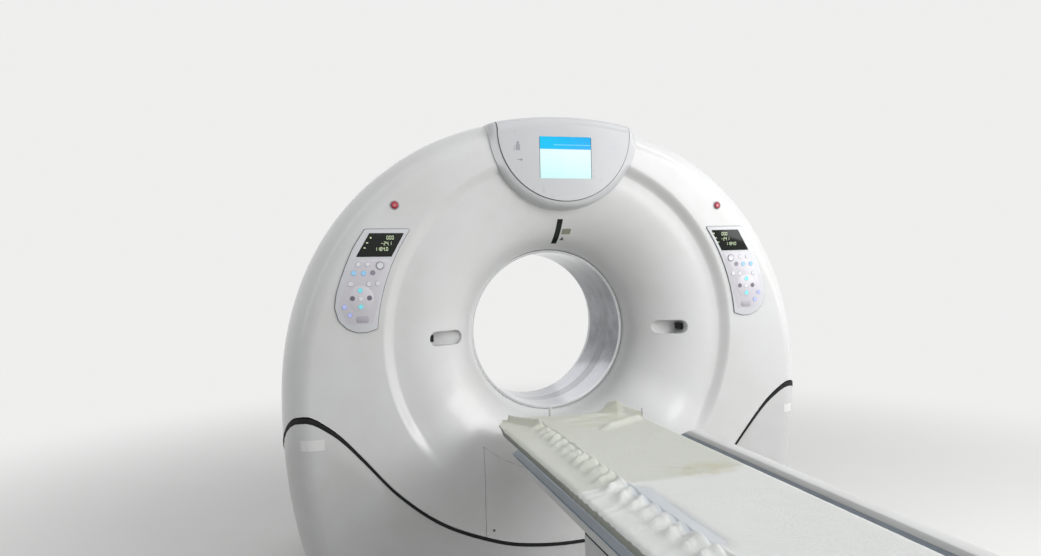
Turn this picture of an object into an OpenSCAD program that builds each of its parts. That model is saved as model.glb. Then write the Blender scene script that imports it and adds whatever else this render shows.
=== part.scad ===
// CT scanner: a tilting gantry on two stands, with its rotating scan ring, and a
// lifting couch with a sliding tabletop. Millimetres, +Z up. The origin is on the
// floor below the isocentre, +Y runs through the bore to the rear, and the couch
// stands in front, towards -Y.

/* [Gantry] */
// Height of the isocentre above the floor
iso_h = 1040; // [1030:5:1080]
// Half of the gantry's width
half_w = 1190; // [1180:5:1200]
// Height of the crown above the isocentre
crown_rise = 950; // [945:5:970]
// Height of the widest point below the isocentre
waist_drop = 255; // [250:5:265]
// Depth from the isocentre plane to the flat face
half_d = 485; // [480:5:500]
// Height of the curve that draws the flanks in below the widest point
low_h = 1600; // [1500:20:1800]
// How square the outline is: 2 is an ellipse
bulge = 2.15; // [2.1:0.05:2.2]
// Width of the rounded rim, across the face
rim_r = 120; // [100:5:125]
// Depth of the rounded rim, along the side
rim_d = 200; // [180:5:220]
// Wall of the moulded covers
wall = 5; // [4:0.5:7]

/* [Bore] */
// Radius of the open bore
bore_r = 360; // [350:1:365]
// Distance from the isocentre plane to the bore's lip
lip_y = 200; // [195:1:210]
// Radius at which the bell mouth meets the flat of the dish
bell_r = 700; // [690:5:705]
// Wall of the bore liner
liner_t = 3; // [2:0.5:5]
// Width of the bright trim ring at the lip
trim_w = 11; // [8:1:14]

/* [Dish] */
// Radius where the step up to the face starts
step_in_r = 740; // [735:1:745]
// Radius where the step reaches the face
step_out_r = 790; // [780:1:795]
// How far the dish lies behind the face
step_d = 29; // [20:1:32]

/* [Sill] */
// Running gap between the tilting cover and its rubber seal
seal_gap = 3; // [2.5:0.25:4]
// Width of the rubber seal
seal_w = 10; // [8:1:14]
// How far the seal stands out of the covers
seal_proud = 3; // [1:0.5:5]

/* [Console] */
// Thickness of the control panels
panel_t = 5; // [4:0.5:7]
// Depth of the keypad that stands out of a panel
key_rise = 2; // [1:0.25:3]
// Diameter of a small key
key_d = 19; // [12:1:20]
// Diameter of the motion enable key
enable_d = 26; // [20:1:28]
// Diameter of the emergency stop
estop_d = 28; // [24:1:36]
// Travel of the emergency stop
estop_travel = 5; // [3:0.5:7]
// Travel of the motion enable key
enable_travel = 2.5; // [2:0.5:3]

/* [Pod] */
// Half of the crown plate's width
crown_half_w = 298; // [280:2:310]
// Width of the moulded rim round the crown plate
crown_rim_w = 36; // [26:2:42]
// How far the crown stands out of the face
crown_proud = 6; // [4:1:9]
// Width of the crown's screen
screen_w = 234; // [200:2:250]
// Height of the crown's screen
screen_h = 177; // [150:2:185]

/* [Rotor] */
// Outer radius of the rotor drum
drum_r = 800; // [760:5:820]
// Thickness of the drum plate
drum_t = 22; // [16:1:30]
// Outer radius of the detector arc
detector_r = 760; // [740:5:780]
// Radius where the detector's face lies
detector_in_r = 640; // [620:5:660]

/* [Stands] */
// Thickness of a stand's plate
stand_t = 70; // [50:5:80]
// Radius of the trunnion shafts
trunnion_r = 55; // [45:1:65]
// Radial gap in the trunnion bearings
bearing_gap = 0.05; // [0.02:0.01:0.1]

/* [Couch] */
// Height of the tabletop's side edges
table_h = 705; // [690:5:712]
// Width of the tabletop
table_w = 470; // [440:5:490]
// Length of the tabletop
table_len = 2430; // [2300:10:2500]
// Distance from the isocentre plane to the tabletop's head end
table_front = 506; // [500:1:520]
// Wall of the tabletop
table_t = 12; // [9:1:16]
// Depth of the trough in the tabletop
trough = 22; // [12:1:30]
// Width of the couch frame
frame_w = 600; // [570:5:620]
// Distance from the isocentre plane to the couch frame's front end
frame_front = 800; // [780:5:850]
// Length of the couch frame
frame_len = 2120; // [2000:10:2200]
// Height of the side rails
rail_h = 80; // [60:2:90]

/* [Hidden] */
$fn = 96;

// Heights and depths that several pieces share
half_h = crown_rise + waist_drop;
waist_z = iso_h - waist_drop;
dish_y = half_d - step_d;
lip_r = bore_r + trim_w + 1;
seal_off = seal_gap + seal_w + 0.9;
// Half of the small gap between two covers that meet at the middle plane
seam = 0.15;
// Clearance under the covers
floor_gap = 6;
// Clearance between pieces that are fixed together
fit_gap = 0.3;

// The tilting cover ends on a surface of revolution about the tilt axis, so that it
// turns past the fixed covers at a constant gap. Each knot is a distance from the
// middle and the radius of that surface there.
sill = [[0, 1016], [240, 998], [410, 953], [580, 883], [740, 778], [870, 668],
    [960, 603], [1040, 567], [1110, 546], [1155, 518], [1190, 500], [1300, 500]];

// Slope of the sill's curve at knot i
function sill_slope(i) = i == 0 || i >= len(sill) - 2 ? 0 :
    (sill[i + 1][1] - sill[i - 1][1]) / (sill[i + 1][0] - sill[i - 1][0]);
// Smooth cubic between knots i and i + 1
function sill_part(i, x) =
    let (h = sill[i + 1][0] - sill[i][0], t = (x - sill[i][0]) / h)
    sill[i][1] * (1 + 2 * t) * pow(1 - t, 2) + h * sill_slope(i) * t * pow(1 - t, 2)
    + sill[i + 1][1] * t * t * (3 - 2 * t) - h * sill_slope(i + 1) * t * t * (1 - t);
function sill_r(x) =
    let (a = min(abs(x), 1299), i = max([for (k = [0 : len(sill) - 2]) a >= sill[k][0] ? k : 0]))
    sill_part(i, a);

function smooth(t) = let (c = min(max(t, 0), 1)) c * c * (3 - 2 * c);

// Half-width of the silhouette at height z
function side_x(z) = half_w * pow(1 - pow(abs(z - waist_z) / (z > waist_z ? half_h : low_h),
    bulge), 1 / bulge);
function signed_pow(v, e) = sign(v) * pow(abs(v), e);

// A closed skin from rows of outer points and rows of inner points. Each row has the
// same number of points. A ring's rows close on themselves.
module skin(outer, inner, ring = false) {
    no = len(outer);
    ni = len(inner);
    n = len(outer[0]);
    pts = concat([for (r = outer) each r], [for (r = inner) each r]);
    last = ring ? n - 1 : n - 2;
    function at(row, i) = row * n + i % n;
    faces = concat(
        [for (r = [0 : no - 2], i = [0 : last]) each [
            [at(r, i), at(r, i + 1), at(r + 1, i + 1)], [at(r, i), at(r + 1, i + 1), at(r + 1, i)]]],
        [for (r = [no : no + ni - 2], i = [0 : last]) each [
            [at(r, i), at(r + 1, i + 1), at(r, i + 1)], [at(r, i), at(r + 1, i), at(r + 1, i + 1)]]],
        [for (i = [0 : last]) each [
            [at(0, i), at(no, i + 1), at(0, i + 1)], [at(0, i), at(no, i), at(no, i + 1)],
            [at(no - 1, i), at(no - 1, i + 1), at(no + ni - 1, i + 1)],
            [at(no - 1, i), at(no + ni - 1, i + 1), at(no + ni - 1, i)]]],
        ring ? [] : edge_faces(no, ni, n, 0, false),
        ring ? [] : edge_faces(no, ni, n, n - 1, true));
    polyhedron(pts, faces, convexity = 6);
}

// The strip that closes a skin's side: a fan over the shorter of the two edges
function edge_faces(no, ni, n, col, flip) =
    let (steps = max(no, ni) - 1)
    [for (s = [0 : steps - 1])
        let (a = round(s * (no - 1) / steps), b = round((s + 1) * (no - 1) / steps),
            c = no + round(s * (ni - 1) / steps), d = no + round((s + 1) * (ni - 1) / steps))
        each [
            if (a != b) flip ? [a * n + col, c * n + col, b * n + col]
                : [a * n + col, b * n + col, c * n + col],
            if (c != d) flip ? [b * n + col, c * n + col, d * n + col]
                : [b * n + col, d * n + col, c * n + col]]];

// The tilting covers. Their columns run clockwise as seen from the front: over the
// crown from the left corner of the sill to the right one, then back along the sill.
crown_cols = 56;
sill_cols = 24;

// Angle on the silhouette, inset by d, at which it meets the sill at depth y
function corner_phi(y, d, x = half_w, n = 4) =
    let (z = iso_h - sqrt(pow(sill_r(x), 2) - y * y),
        q = (z - waist_z) / ((z > waist_z ? half_h : low_h) - d),
        p = acos(signed_pow(q, bulge / 2)))
    n == 0 ? p : corner_phi(y, d, (half_w - d) * pow(sin(p), 2 / bulge), n - 1);
function rim_pt(i, y, d) =
    let (p = corner_phi(y, d) * (2 * i / crown_cols - 1))
    [(half_w - d) * signed_pow(sin(p), 2 / bulge), -y,
        waist_z + ((cos(p) > 0 ? half_h : low_h) - d) * signed_pow(cos(p), 2 / bulge)];
function sill_pt(k, y, d) =
    let (x = (half_w - d) * signed_pow(sin(corner_phi(y, d)), 2 / bulge) * (1 - 2 * k / sill_cols))
    [x, -y, iso_h - sqrt(pow(sill_r(x), 2) - y * y)];
function edge_pt(i, y, d) = i <= crown_cols ? rim_pt(i, y, d) : sill_pt(i - crown_cols, y, d);
function edge_dir(i) = let (p = edge_pt(i, half_d, rim_r)) atan2(p[0], p[2] - iso_h);
function circle_pt(th, r, y) = [r * sin(th), -y, iso_h + r * cos(th)];
// Depth of the dish in direction th: the step fades out towards the floor
function dish_depth(th, step) = half_d - step * (1 - smooth((abs(th) - 115) / 21));

// Rows of a cover between the lip and the flat face's edge, with wall t
function bell_rows(taus, t, step) = [for (tau = taus) [for (i = [0 : crown_cols + sill_cols - 1])
    let (th = edge_dir(i))
    circle_pt(th, bell_r - (bell_r - lip_r - t) * cos(tau),
        lip_y + (dish_depth(th, step) - lip_y - t) * sin(tau))]];
function step_rows(parts, t, step) = [for (f = parts) [for (i = [0 : crown_cols + sill_cols - 1])
    let (th = edge_dir(i), in = dish_depth(th, step))
    circle_pt(th, step_in_r + (step_out_r - step_in_r) * f, in + (half_d - in) * smooth(f) - t)]];
function face_row(t) = [[for (i = [0 : crown_cols + sill_cols - 1]) edge_pt(i, half_d - t, rim_r)]];
// The straight side between the rounded rim and the seam, in even steps
side_shares = [0.75, 0.5, 0.25, 0];
function side_depth(f) = seam + f * (half_d - rim_d - seam);
function rim_rows(t) = concat(
    [for (a = [22.5, 45, 67.5, 90]) [for (i = [0 : crown_cols])
        rim_pt(i, half_d - rim_d + (rim_d - t) * cos(a), rim_r - (rim_r - t) * sin(a))]],
    [for (f = side_shares) [for (i = [0 : crown_cols]) rim_pt(i, side_depth(f), t)]]);

// A tilting cover: ring rows out to the face's edge, then rows over the crown alone
module cover_skin(ring_out, ring_in) {
    n = crown_cols + sill_cols;
    m = crown_cols + 1;
    rim_out = rim_rows(0);
    rim_in = rim_rows(wall);
    a = len(ring_out);
    b = len(rim_out);
    c = len(ring_in);
    in0 = a * n + b * m;
    pts = concat([for (r = ring_out) each r], [for (r = rim_out) each r],
        [for (r = ring_in) each r], [for (r = rim_in) each r]);
    function out(r, i) = r < a ? r * n + i % n : a * n + (r - a) * m + i;
    function inn(r, i) = in0 + (r < c ? r * n + i % n : c * n + (r - c) * m + i);
    faces = concat(
        [for (r = [0 : a - 2], i = [0 : n - 1]) each quad(out(r, i), out(r + 1, i),
            out(r + 1, i + 1), out(r, i + 1))],
        [for (r = [a - 1 : a + b - 2], i = [0 : m - 2]) each quad(out(r, i), out(r + 1, i),
            out(r + 1, i + 1), out(r, i + 1))],
        [for (r = [0 : c - 2], i = [0 : n - 1]) each quad(inn(r, i), inn(r, i + 1),
            inn(r + 1, i + 1), inn(r + 1, i))],
        [for (r = [c - 1 : c + b - 2], i = [0 : m - 2]) each quad(inn(r, i), inn(r, i + 1),
            inn(r + 1, i + 1), inn(r + 1, i))],
        [for (i = [0 : n - 1]) each quad(out(0, i), out(0, i + 1), inn(0, i + 1), inn(0, i))],
        [for (i = [m - 1 : n - 1]) each quad(out(a - 1, i), inn(c - 1, i), inn(c - 1, i + 1),
            out(a - 1, i + 1))],
        [for (i = [0 : m - 2]) each quad(out(a + b - 1, i), inn(c + b - 1, i),
            inn(c + b - 1, i + 1), out(a + b - 1, i + 1))],
        [for (k = [0 : b - 1]) each quad(out(a - 1 + k, 0), inn(c - 1 + k, 0),
            inn(c + k, 0), out(a + k, 0))],
        [for (k = [0 : b - 1]) each quad(out(a - 1 + k, m - 1), out(a + k, m - 1),
            inn(c + k, m - 1), inn(c - 1 + k, m - 1))]);
    polyhedron(pts, faces, convexity = 8);
}
function quad(p, q, r, s) = [[p, q, r], [p, r, s]];

module front_shell() {
    cover_skin(
        concat(bell_rows([0, 12, 25, 40, 56, 73, 90], 0, step_d),
            step_rows([0, 0.3, 0.7, 1], 0, step_d), face_row(0)),
        concat(bell_rows([0, 30, 60, 90], wall, step_d),
            step_rows([0, 1], wall, step_d), face_row(wall)));
}

module front_cover() {
    color("whitesmoke") difference() {
        front_shell();
        for (s = [-1, 1]) {
            laser_slot(s, fit_gap);
            translate([s * estop_x, -half_d + wall + 1, estop_z]) rotate([90, 0, 0])
                cylinder(r = estop_d / 2 + 1, h = wall + 2);
        }
        top_slit(fit_gap);
        access_opening();
    }
}

module rear_cover() {
    color("whitesmoke") mirror([0, 1, 0]) cover_skin(
        concat(bell_rows([0, 22, 45, 68, 90], 0, 0), face_row(0)),
        concat(bell_rows([0, 45, 90], wall, 0), face_row(wall)));
}

// Recesses in the bell for the side lasers, and the slit of the top laser
laser_in = 444;
laser_out = 596;
laser_h = 68;
laser_z = iso_h + 3;
slit_w = 17;
slit_low = 402;
slit_high = 496;
module top_slit(gap) {
    translate([0, -360, iso_h + (slit_low + slit_high) / 2]) cube([slit_w + 2 * gap, 200,
        slit_high - slit_low + 2 * gap], center = true);
}

// The closed outline of a polygon whose corners are rounded. Each corner is x, y, radius.
function rounded(c, steps = 6) = [for (i = [0 : len(c) - 1])
    let (p = c[i], a = c[(i + len(c) - 1) % len(c)], b = c[(i + 1) % len(c)],
        u = unit([a[0] - p[0], a[1] - p[1]]), v = unit([b[0] - p[0], b[1] - p[1]]),
        half = acos(u * v) / 2, m = unit(u + v),
        o = [p[0], p[1]] + m * (p[2] / sin(half)), back = p[2] / tan(half),
        s = [p[0], p[1]] + u * back - o, e = [p[0], p[1]] + v * back - o,
        turn = 180 - 2 * half, side = s[0] * e[1] - s[1] * e[0] > 0 ? 1 : -1)
    each p[2] == 0 ? [[p[0], p[1]]] : [for (k = [0 : steps])
        let (g = side * turn * k / steps)
        o + [s[0] * cos(g) - s[1] * sin(g), s[0] * sin(g) + s[1] * cos(g)]]];
function unit(v) = v / norm(v);

// Stands a flat outline up in the face of the gantry: x, height above the isocentre,
// from depth y0 to depth y1 in front of the isocentre plane
module on_face(y0, y1) {
    translate([0, -y0, iso_h]) rotate([90, 0, 0]) linear_extrude(y1 - y0) children();
}
// A disc or post whose axis runs along Y, from depth y0 to depth y1
module pin_y(x, z, r, y0, y1) {
    translate([x, -y0, iso_h + z]) rotate([90, 0, 0]) cylinder(r = r, h = y1 - y0);
}
// A ring about the bore's axis, from depth y0 to depth y1 towards the rear
module bore_ring(r0, r1, y0, y1) {
    translate([0, y1, iso_h]) rotate([90, 0, 0]) difference() {
        cylinder(r = r1, h = y1 - y0);
        translate([0, 0, -1]) cylinder(r = r0, h = y1 - y0 + 2);
    }
}
// A revolved profile about the bore's axis: radius, depth towards the front
module bore_revolve(points) {
    translate([0, 0, iso_h]) rotate([90, 0, 0]) rotate_extrude() polygon(points);
}
// The space in front of the bell's surface, set back by t
module bell_space(t) {
    bore_revolve(concat([for (tau = [0 : 9 : 90])
        [bell_r - (bell_r - lip_r - t) * cos(tau), lip_y + (dish_y - lip_y - t) * sin(tau)]],
        [[bell_r, half_d + 100], [lip_r + t, half_d + 100]]));
}

// Fixed base covers. A station is a place along the cover's plan: on the side wall
// [1, sign, share], on the rounded rim [2, sign, angle], or on the face [3, share].
face_cols = 26;
stations = concat(
    [for (f = [0 : 0.25 : 1]) [1, -1, f]], [for (a = [22.5, 45, 67.5]) [2, -1, a]],
    [for (i = [0 : face_cols]) [3, 2 * i / face_cols - 1]],
    [for (a = [67.5, 45, 22.5]) [2, 1, a]], [for (f = [1 : -0.25 : 0]) [1, 1, f]]);
function plan_pt(s, z, t) =
    s[0] == 1 ? [s[1] * (side_x(z) - t), -side_depth(s[2]), z]
    : s[0] == 2 ? [s[1] * (side_x(z) - rim_r + (rim_r - t) * cos(s[2])),
        -half_d + rim_d - (rim_d - t) * sin(s[2]), z]
    : [s[1] * (side_x(z) - rim_r), -half_d + t, z];
// The height at which a station meets the sill surface grown by off, by repeated steps
function sill_z(s, off, t, z = 500, n = 8) = n == 0 ? z :
    let (p = plan_pt(s, z, t))
    sill_z(s, off, t, iso_h - sqrt(pow(sill_r(p[0]) + off, 2) - p[1] * p[1]), n - 1);
function base_rows(shares, t) = [for (f = shares) [for (s = stations)
    let (top = sill_z(s, seal_off, t)) plan_pt(s, top + (floor_gap - top) * f, t)]];
function seal_row(off, t) = [for (s = stations) plan_pt(s, sill_z(s, off, t), t)];

module base_cover() {
    skin(base_rows([0, 0.35, 0.7, 1], 0), base_rows([0, 0.5, 1], wall));
}
module seal_strip() {
    skin([seal_row(seal_gap, -seal_proud / 3), seal_row(seal_gap + seal_w * 0.5, -seal_proud),
        seal_row(seal_gap + seal_w, -seal_proud / 3)],
        [seal_row(seal_gap, wall + 3), seal_row(seal_gap + seal_w, wall + 3)]);
}
module front_base_cover() color("whitesmoke") base_cover();
module rear_base_cover() color("whitesmoke") mirror([0, 1, 0]) base_cover();
module cover_seals() color("black") {
    seal_strip();
    mirror([0, 1, 0]) seal_strip();
}

// Bore liner and the bright rings at both lips
module bore_liner() color("silver") bore_ring(bore_r, bore_r + liner_t, -lip_y + 10, lip_y - 10);
module lip_trim() {
    bore_revolve([[bore_r, lip_y - 9.7], [bore_r, lip_y + 1], [bore_r + 3, lip_y + 4],
        [bore_r + trim_w - 3, lip_y + 4], [bore_r + trim_w, lip_y + 1],
        [bore_r + trim_w, lip_y - 9.7]]);
}
module bore_trims() color("gainsboro") {
    lip_trim();
    mirror([0, 1, 0]) lip_trim();
}

// The crown: a moulded pod over the top of the dish that carries the screen
crown_z = 870;
crown_r = crown_half_w + crown_rim_w;
crown_top_r = 50;
pod_cols = 26;
// Inset of a point from the silhouette, by halving the interval
function inset(x, z, lo = -20, hi = 300, n = 16) = n == 0 ? (lo + hi) / 2 :
    let (m = (lo + hi) / 2)
    pow(abs(x) / (half_w - m), bulge) + pow(max(z - waist_z, 0) / (half_h - m), bulge) < 1
        ? inset(x, z, m, hi, n - 1) : inset(x, z, lo, m, n - 1);
// Depth of the front cover's outside above the bore, at x and height z over the isocentre
function cover_depth(x, z) = let (r = norm([x, z]), d = inset(x, z + iso_h))
    r < bell_r ? lip_y + (dish_y - lip_y) * sin(acos((bell_r - r) / (bell_r - lip_r)))
    : r < step_out_r ? dish_y + step_d * smooth((r - step_in_r) / (step_out_r - step_in_r))
    : d > rim_r ? half_d
    : half_d - rim_d + rim_d * cos(asin(min(1, 1 - d / rim_r)));
function crown_low(x) = crown_z - sqrt(max(0, crown_r * crown_r - x * x));
function crown_high(x) = waist_z - iso_h
    + (half_h - 12) * pow(1 - pow(abs(x) / (half_w - 12), bulge), 1 / bulge);
function crown_front(x, z) =
    let (e = z < crown_z ? crown_r - norm([x, z - crown_z]) : crown_r - abs(x),
        side = e < crown_rim_w ? sqrt(1 - pow((crown_rim_w - max(e, 0)) / crown_rim_w, 2)) : 1,
        top = max(0, crown_top_r - (crown_high(x) - z)) / crown_top_r,
        full = half_d + crown_proud - crown_top_r * (1 - sqrt(max(0, 1 - top * top))),
        under = cover_depth(x, z) + 5.6)
    under + (full - under) * side;
// The pod is a moulding with an open back: it lies on the flat face and spans the dish
pod_wall = 5.6;
function pod_back(x, z, f) =
    let (flat = norm([x, z]) > step_out_r + 110 && inset(x, z + iso_h) > rim_r + 40,
        low = cover_depth(x, z) + (flat ? 0.4 : 4.6))
    f == 0 ? low : max(low, crown_front(x, z) - pod_wall);
pod_rows = [0, 0.03, 0.07, 0.12, 0.3, 0.55, 0.75, 0.88, 0.93, 0.96, 0.985, 1];
function crown_rows(shares, back) = [for (f = shares) [for (i = [0 : pod_cols])
    let (x = crown_r * sin(180 * i / pod_cols - 90),
        z = crown_high(x) + (crown_low(x) - crown_high(x)) * f,
        y = back ? pod_back(x, z, f) : crown_front(x, z))
    [x, -y, iso_h + z]]];
module crown_housing() color("whitesmoke")
    skin(crown_rows(pod_rows, false), crown_rows(pod_rows, true));

crown_face = half_d + crown_proud;
bezel_t = 4;
bezel_arc_r = 1015;
screen_z = 757;
module crown_bezel() color("gainsboro") on_face(crown_face + fit_gap, crown_face + bezel_t)
    difference() {
        intersection() {
            translate([0, crown_z]) circle(crown_half_w);
            translate([0, crown_rise - 65 - bezel_arc_r]) circle(bezel_arc_r);
        }
        translate([0, screen_z]) square([screen_w + 1, screen_h + 1], center = true);
    }
module crown_screen() color("deepskyblue")
    on_face(crown_face + fit_gap, crown_face + bezel_t - 0.6)
        translate([0, screen_z]) square([screen_w, screen_h], center = true);

// Control panels. Places are for the right one: x and height over the isocentre.
panel_arc_r = 811;
panel_outline = concat([for (a = [4.4 : 3.33 : 34.4]) [panel_arc_r * cos(a), panel_arc_r * sin(a),
    a < 5 || a > 34 ? 5 : 0]],
    [[848, 459, 10], [893, 390, 200], [922, 325, 300], [946, 262, 300], [964, 205, 160],
    [971, 150, 50], [957, 98, 50], [925, 66, 50], [888, 50, 60], [848, 50, 60]]);
display_outline = [[695, 442, 2], [831, 443, 2], [885, 350, 2], [746, 349, 2]];
pad_outline = [[752, 338, 8], [880, 338, 8], [922, 255, 60], [955, 160, 26], [925, 82, 30],
    [824, 82, 10]];
keys = [[877, 320], [841, 320], [896, 286], [857, 285], [821, 286], [909, 243], [837, 242],
    [803, 243], [872, 217], [903, 186], [870, 184], [837, 186], [871, 152], [934, 153],
    [914, 120]];
enable_at = [792, 314];
estop_x = 728;
estop_z = iso_h + 555;
panel_back = half_d + fit_gap;
panel_front = half_d + panel_t;
pad_t = 2;
module control_panel() color("whitesmoke") difference() {
    on_face(panel_back, panel_front) polygon(rounded(panel_outline));
    on_face(half_d, panel_front + 1) offset_outline(display_outline, 1.01);
    on_face(panel_front - pad_t, panel_front + 1) offset_outline(pad_outline, 1.01);
    pin_y(enable_at[0], enable_at[1], enable_d / 2 + 0.3, half_d, panel_front + 1);
}
// An outline grown about its own middle
module offset_outline(c, by) {
    m = [for (k = [0, 1]) [for (p = c) p[k]] * [for (p = c) 1] / len(c)];
    polygon(rounded([for (p = c) [m[0] + (p[0] - m[0]) * by, m[1] + (p[1] - m[1]) * by, p[2]]]));
}
module display_plate() on_face(panel_back, panel_front - 0.5) polygon(rounded(display_outline));
module keypad() color("lightsteelblue") difference() {
    union() {
        on_face(panel_front - pad_t + 0.1, panel_front) polygon(rounded(pad_outline));
        for (k = keys) pin_y(k[0], k[1], key_d / 2, panel_front - 0.5, panel_front + key_rise);
    }
    pin_y(enable_at[0], enable_at[1], enable_d / 2 + 3, half_d, panel_front + 5);
}
module enable_key() color("white") union() {
    pin_y(enable_at[0], enable_at[1], enable_d / 2, panel_back + enable_travel + 0.1,
        panel_front + enable_travel + 1);
}
module estop_button() color("red") union() {
    pin_y(estop_x, estop_z - iso_h, estop_d / 2, half_d - 1, half_d + estop_travel + 3);
    pin_y(estop_x, estop_z - iso_h, estop_d / 5, half_d - 14, half_d);
}
module left_half() mirror([1, 0, 0]) children();
module right_control_panel() control_panel();
module left_control_panel() left_half() control_panel();
module control_displays() color("black") {
    display_plate();
    left_half() display_plate();
}
module right_keypad() keypad();
module left_keypad() left_half() keypad();
module right_enable_key() enable_key();
module left_enable_key() left_half() enable_key();
module right_estop() estop_button();
module left_estop() left_half() estop_button();
module estop_collars() color("silver") for (s = [-1, 1]) difference() {
    pin_y(s * estop_x, estop_z - iso_h, estop_d / 2 + 5, half_d + fit_gap, half_d + 3);
    pin_y(s * estop_x, estop_z - iso_h, estop_d / 2 + 0.6, half_d - 1, half_d + 4);
}

// Access panel low in the front cover: its top edge is an arc about the bore
access_half_w = 384;
access_r = 595;
access_low = -812;
access_cols = 14;
access_gap = 1.6;
function access_depth(x, z) = let (r = norm([x, z]))
    r < bell_r ? lip_y + (half_d - lip_y) * sin(acos((bell_r - r) / (bell_r - lip_r))) : half_d;
function access_rows(shares, t) = [for (f = shares) [for (i = [0 : access_cols])
    let (x = (access_half_w - access_gap) * (2 * i / access_cols - 1),
        high = -sqrt(pow(access_r + access_gap, 2) - x * x), low = access_low + access_gap,
        z = high + (low - high) * f)
    [x, -access_depth(x, z) + t, iso_h + z]]];
module access_opening() on_face(half_d - 140, half_d + 5) difference() {
    translate([-access_half_w, access_low]) square([2 * access_half_w, -access_low]);
    circle(access_r);
}
module access_panel() color("whitesmoke")
    skin(access_rows([0, 0.15, 0.3, 0.5, 1], 0), access_rows([0, 0.3, 1], wall));

// Side lasers: a cup in each recess, with a dark window at its outer end
laser_floor = 350;
module laser_shape(s, grow) {
    r = laser_h / 2 + grow;
    for (x = [laser_in + laser_h / 2, laser_out - laser_h / 2])
        translate([s * x, laser_z - iso_h]) circle(r);
    translate([s * (laser_in + laser_out) / 2, laser_z - iso_h])
        square([laser_out - laser_in - laser_h, 2 * r], center = true);
}
module laser_slot(s, gap) on_face(laser_floor - 20, half_d) laser_shape(s, gap);
module laser_housings() color("whitesmoke") for (s = [-1, 1]) difference() {
    on_face(laser_floor, half_d) laser_shape(s, 0);
    on_face(laser_floor + 4, half_d + 1) laser_shape(s, -3);
    bell_space(0.5);
}
module laser_windows() color("black") for (s = [-1, 1])
    translate([s * (laser_out - 16), -laser_floor - 4 - fit_gap - 25, laser_z])
        cube([16, 50, 28], center = true);
module top_laser_window() color("black") difference() {
    translate([0, -390, iso_h + (slit_low + slit_high) / 2])
        cube([slit_w, 120, slit_high - slit_low], center = true);
    bell_space(0.5);
    bore_revolve(concat([[lip_r - 30, lip_y - 20]],
        [for (tau = [0 : 9 : 90]) [bell_r - (bell_r - lip_r - wall) * cos(tau),
            lip_y + (dish_y - lip_y - wall) * sin(tau)]], [[bell_r, lip_y - 20]]));
}

// Scan rotor. It turns about the bore's axis, and is seen here with the tube on top.
drum_y = 40;
hub_in = bore_r + 35;
hub_out = hub_in + 25;
race_split = hub_out + 35;
race_out = race_split + 60;
race_y = 104;
race_len = 86;
tube_r = 105;
tube_at = 680;
module rotor_drum() color("slategray") union() {
    difference() {
        bore_ring(hub_in, drum_r, drum_y, drum_y + drum_t);
        for (a = [30 : 30 : 330]) rotate_about_bore(a)
            translate([0, drum_y - 1, iso_h + 500]) rotate([-90, 0, 0])
                cylinder(r = 34, h = drum_t + 2);
    }
    bore_ring(hub_in, hub_out, drum_y, race_y + race_len - 10);
    bore_ring(drum_r - 14, drum_r, drum_y - 60, drum_y + drum_t);
}
module rotate_about_bore(a) translate([0, 0, iso_h]) rotate([0, a, 0]) translate([0, 0, -iso_h])
    children();
module bearing_inner_race() color("silver")
    bore_ring(hub_out + fit_gap, race_split - bearing_gap, race_y + 4, race_y + race_len - 10);
module bearing_outer_race() color("silver") union() {
    bore_ring(race_split, race_out, race_y, race_y + race_len);
    bore_ring(race_out - 1, race_out + 30, race_y + race_len - 20, race_y + race_len);
}
slip_in = drum_r - 200;
slip_out = drum_r - 120;
module slip_ring() color("goldenrod") difference() {
    bore_ring(slip_in, slip_out, drum_y + drum_t + fit_gap, drum_y + drum_t + 32);
    for (r = [slip_in + 15 : 13 : slip_out - 13])
        bore_ring(r, r + 5, drum_y + drum_t + 28, drum_y + drum_t + 33);
}
// A block on the front of the drum, at angle a, radius r, across, along the radius, deep
module drum_block(a, r, size) rotate_about_bore(a)
    translate([-size[0] / 2, drum_y - fit_gap - size[1], iso_h + r]) cube(size);
module xray_tube() color("steelblue") union() {
    translate([0, drum_y - fit_gap, iso_h + tube_at]) rotate([90, 0, 0]) cylinder(r = tube_r, h = 190);
    translate([0, drum_y - fit_gap - 190, iso_h + tube_at]) rotate([90, 0, 0])
        cylinder(r = tube_r - 25, h = 24);
    drum_block(0, tube_at - 50, [2 * tube_r + 40, 70, 100]);
}
module collimator() color("dimgray") difference() {
    drum_block(0, 500, [190, 120, tube_at - tube_r - 500 - fit_gap]);
    translate([0, drum_y - fit_gap - 60, iso_h + 540]) cube([120, 40, 90], center = true);
}
module high_voltage_generator() color("slategray") {
    drum_block(118, 470, [300, 190, 260]);
}
module detector_arc() color("darkslategray") translate([0, 0, iso_h]) rotate([90, 0, 0])
    translate([0, 0, -drum_y + fit_gap]) rotate([0, 0, 240]) rotate_extrude(angle = 60)
        polygon([[detector_in_r, 10], [detector_in_r + 20, 0], [detector_r, 0], [detector_r, 150],
            [detector_in_r + 40, 150], [detector_in_r, 120]]);
module counterweights() color("dimgray") {
    drum_block(75, 560, [220, 140, 170]);
    drum_block(-75, 560, [220, 140, 170]);
    drum_block(-122, 520, [240, 150, 220]);
}

// Tilting frame that carries the rotor, between the two stands
frame_y = race_y + race_len + fit_gap;
frame_t = 38;
arm_in = drum_r + 50;
arm_out = arm_in + 35;
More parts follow.
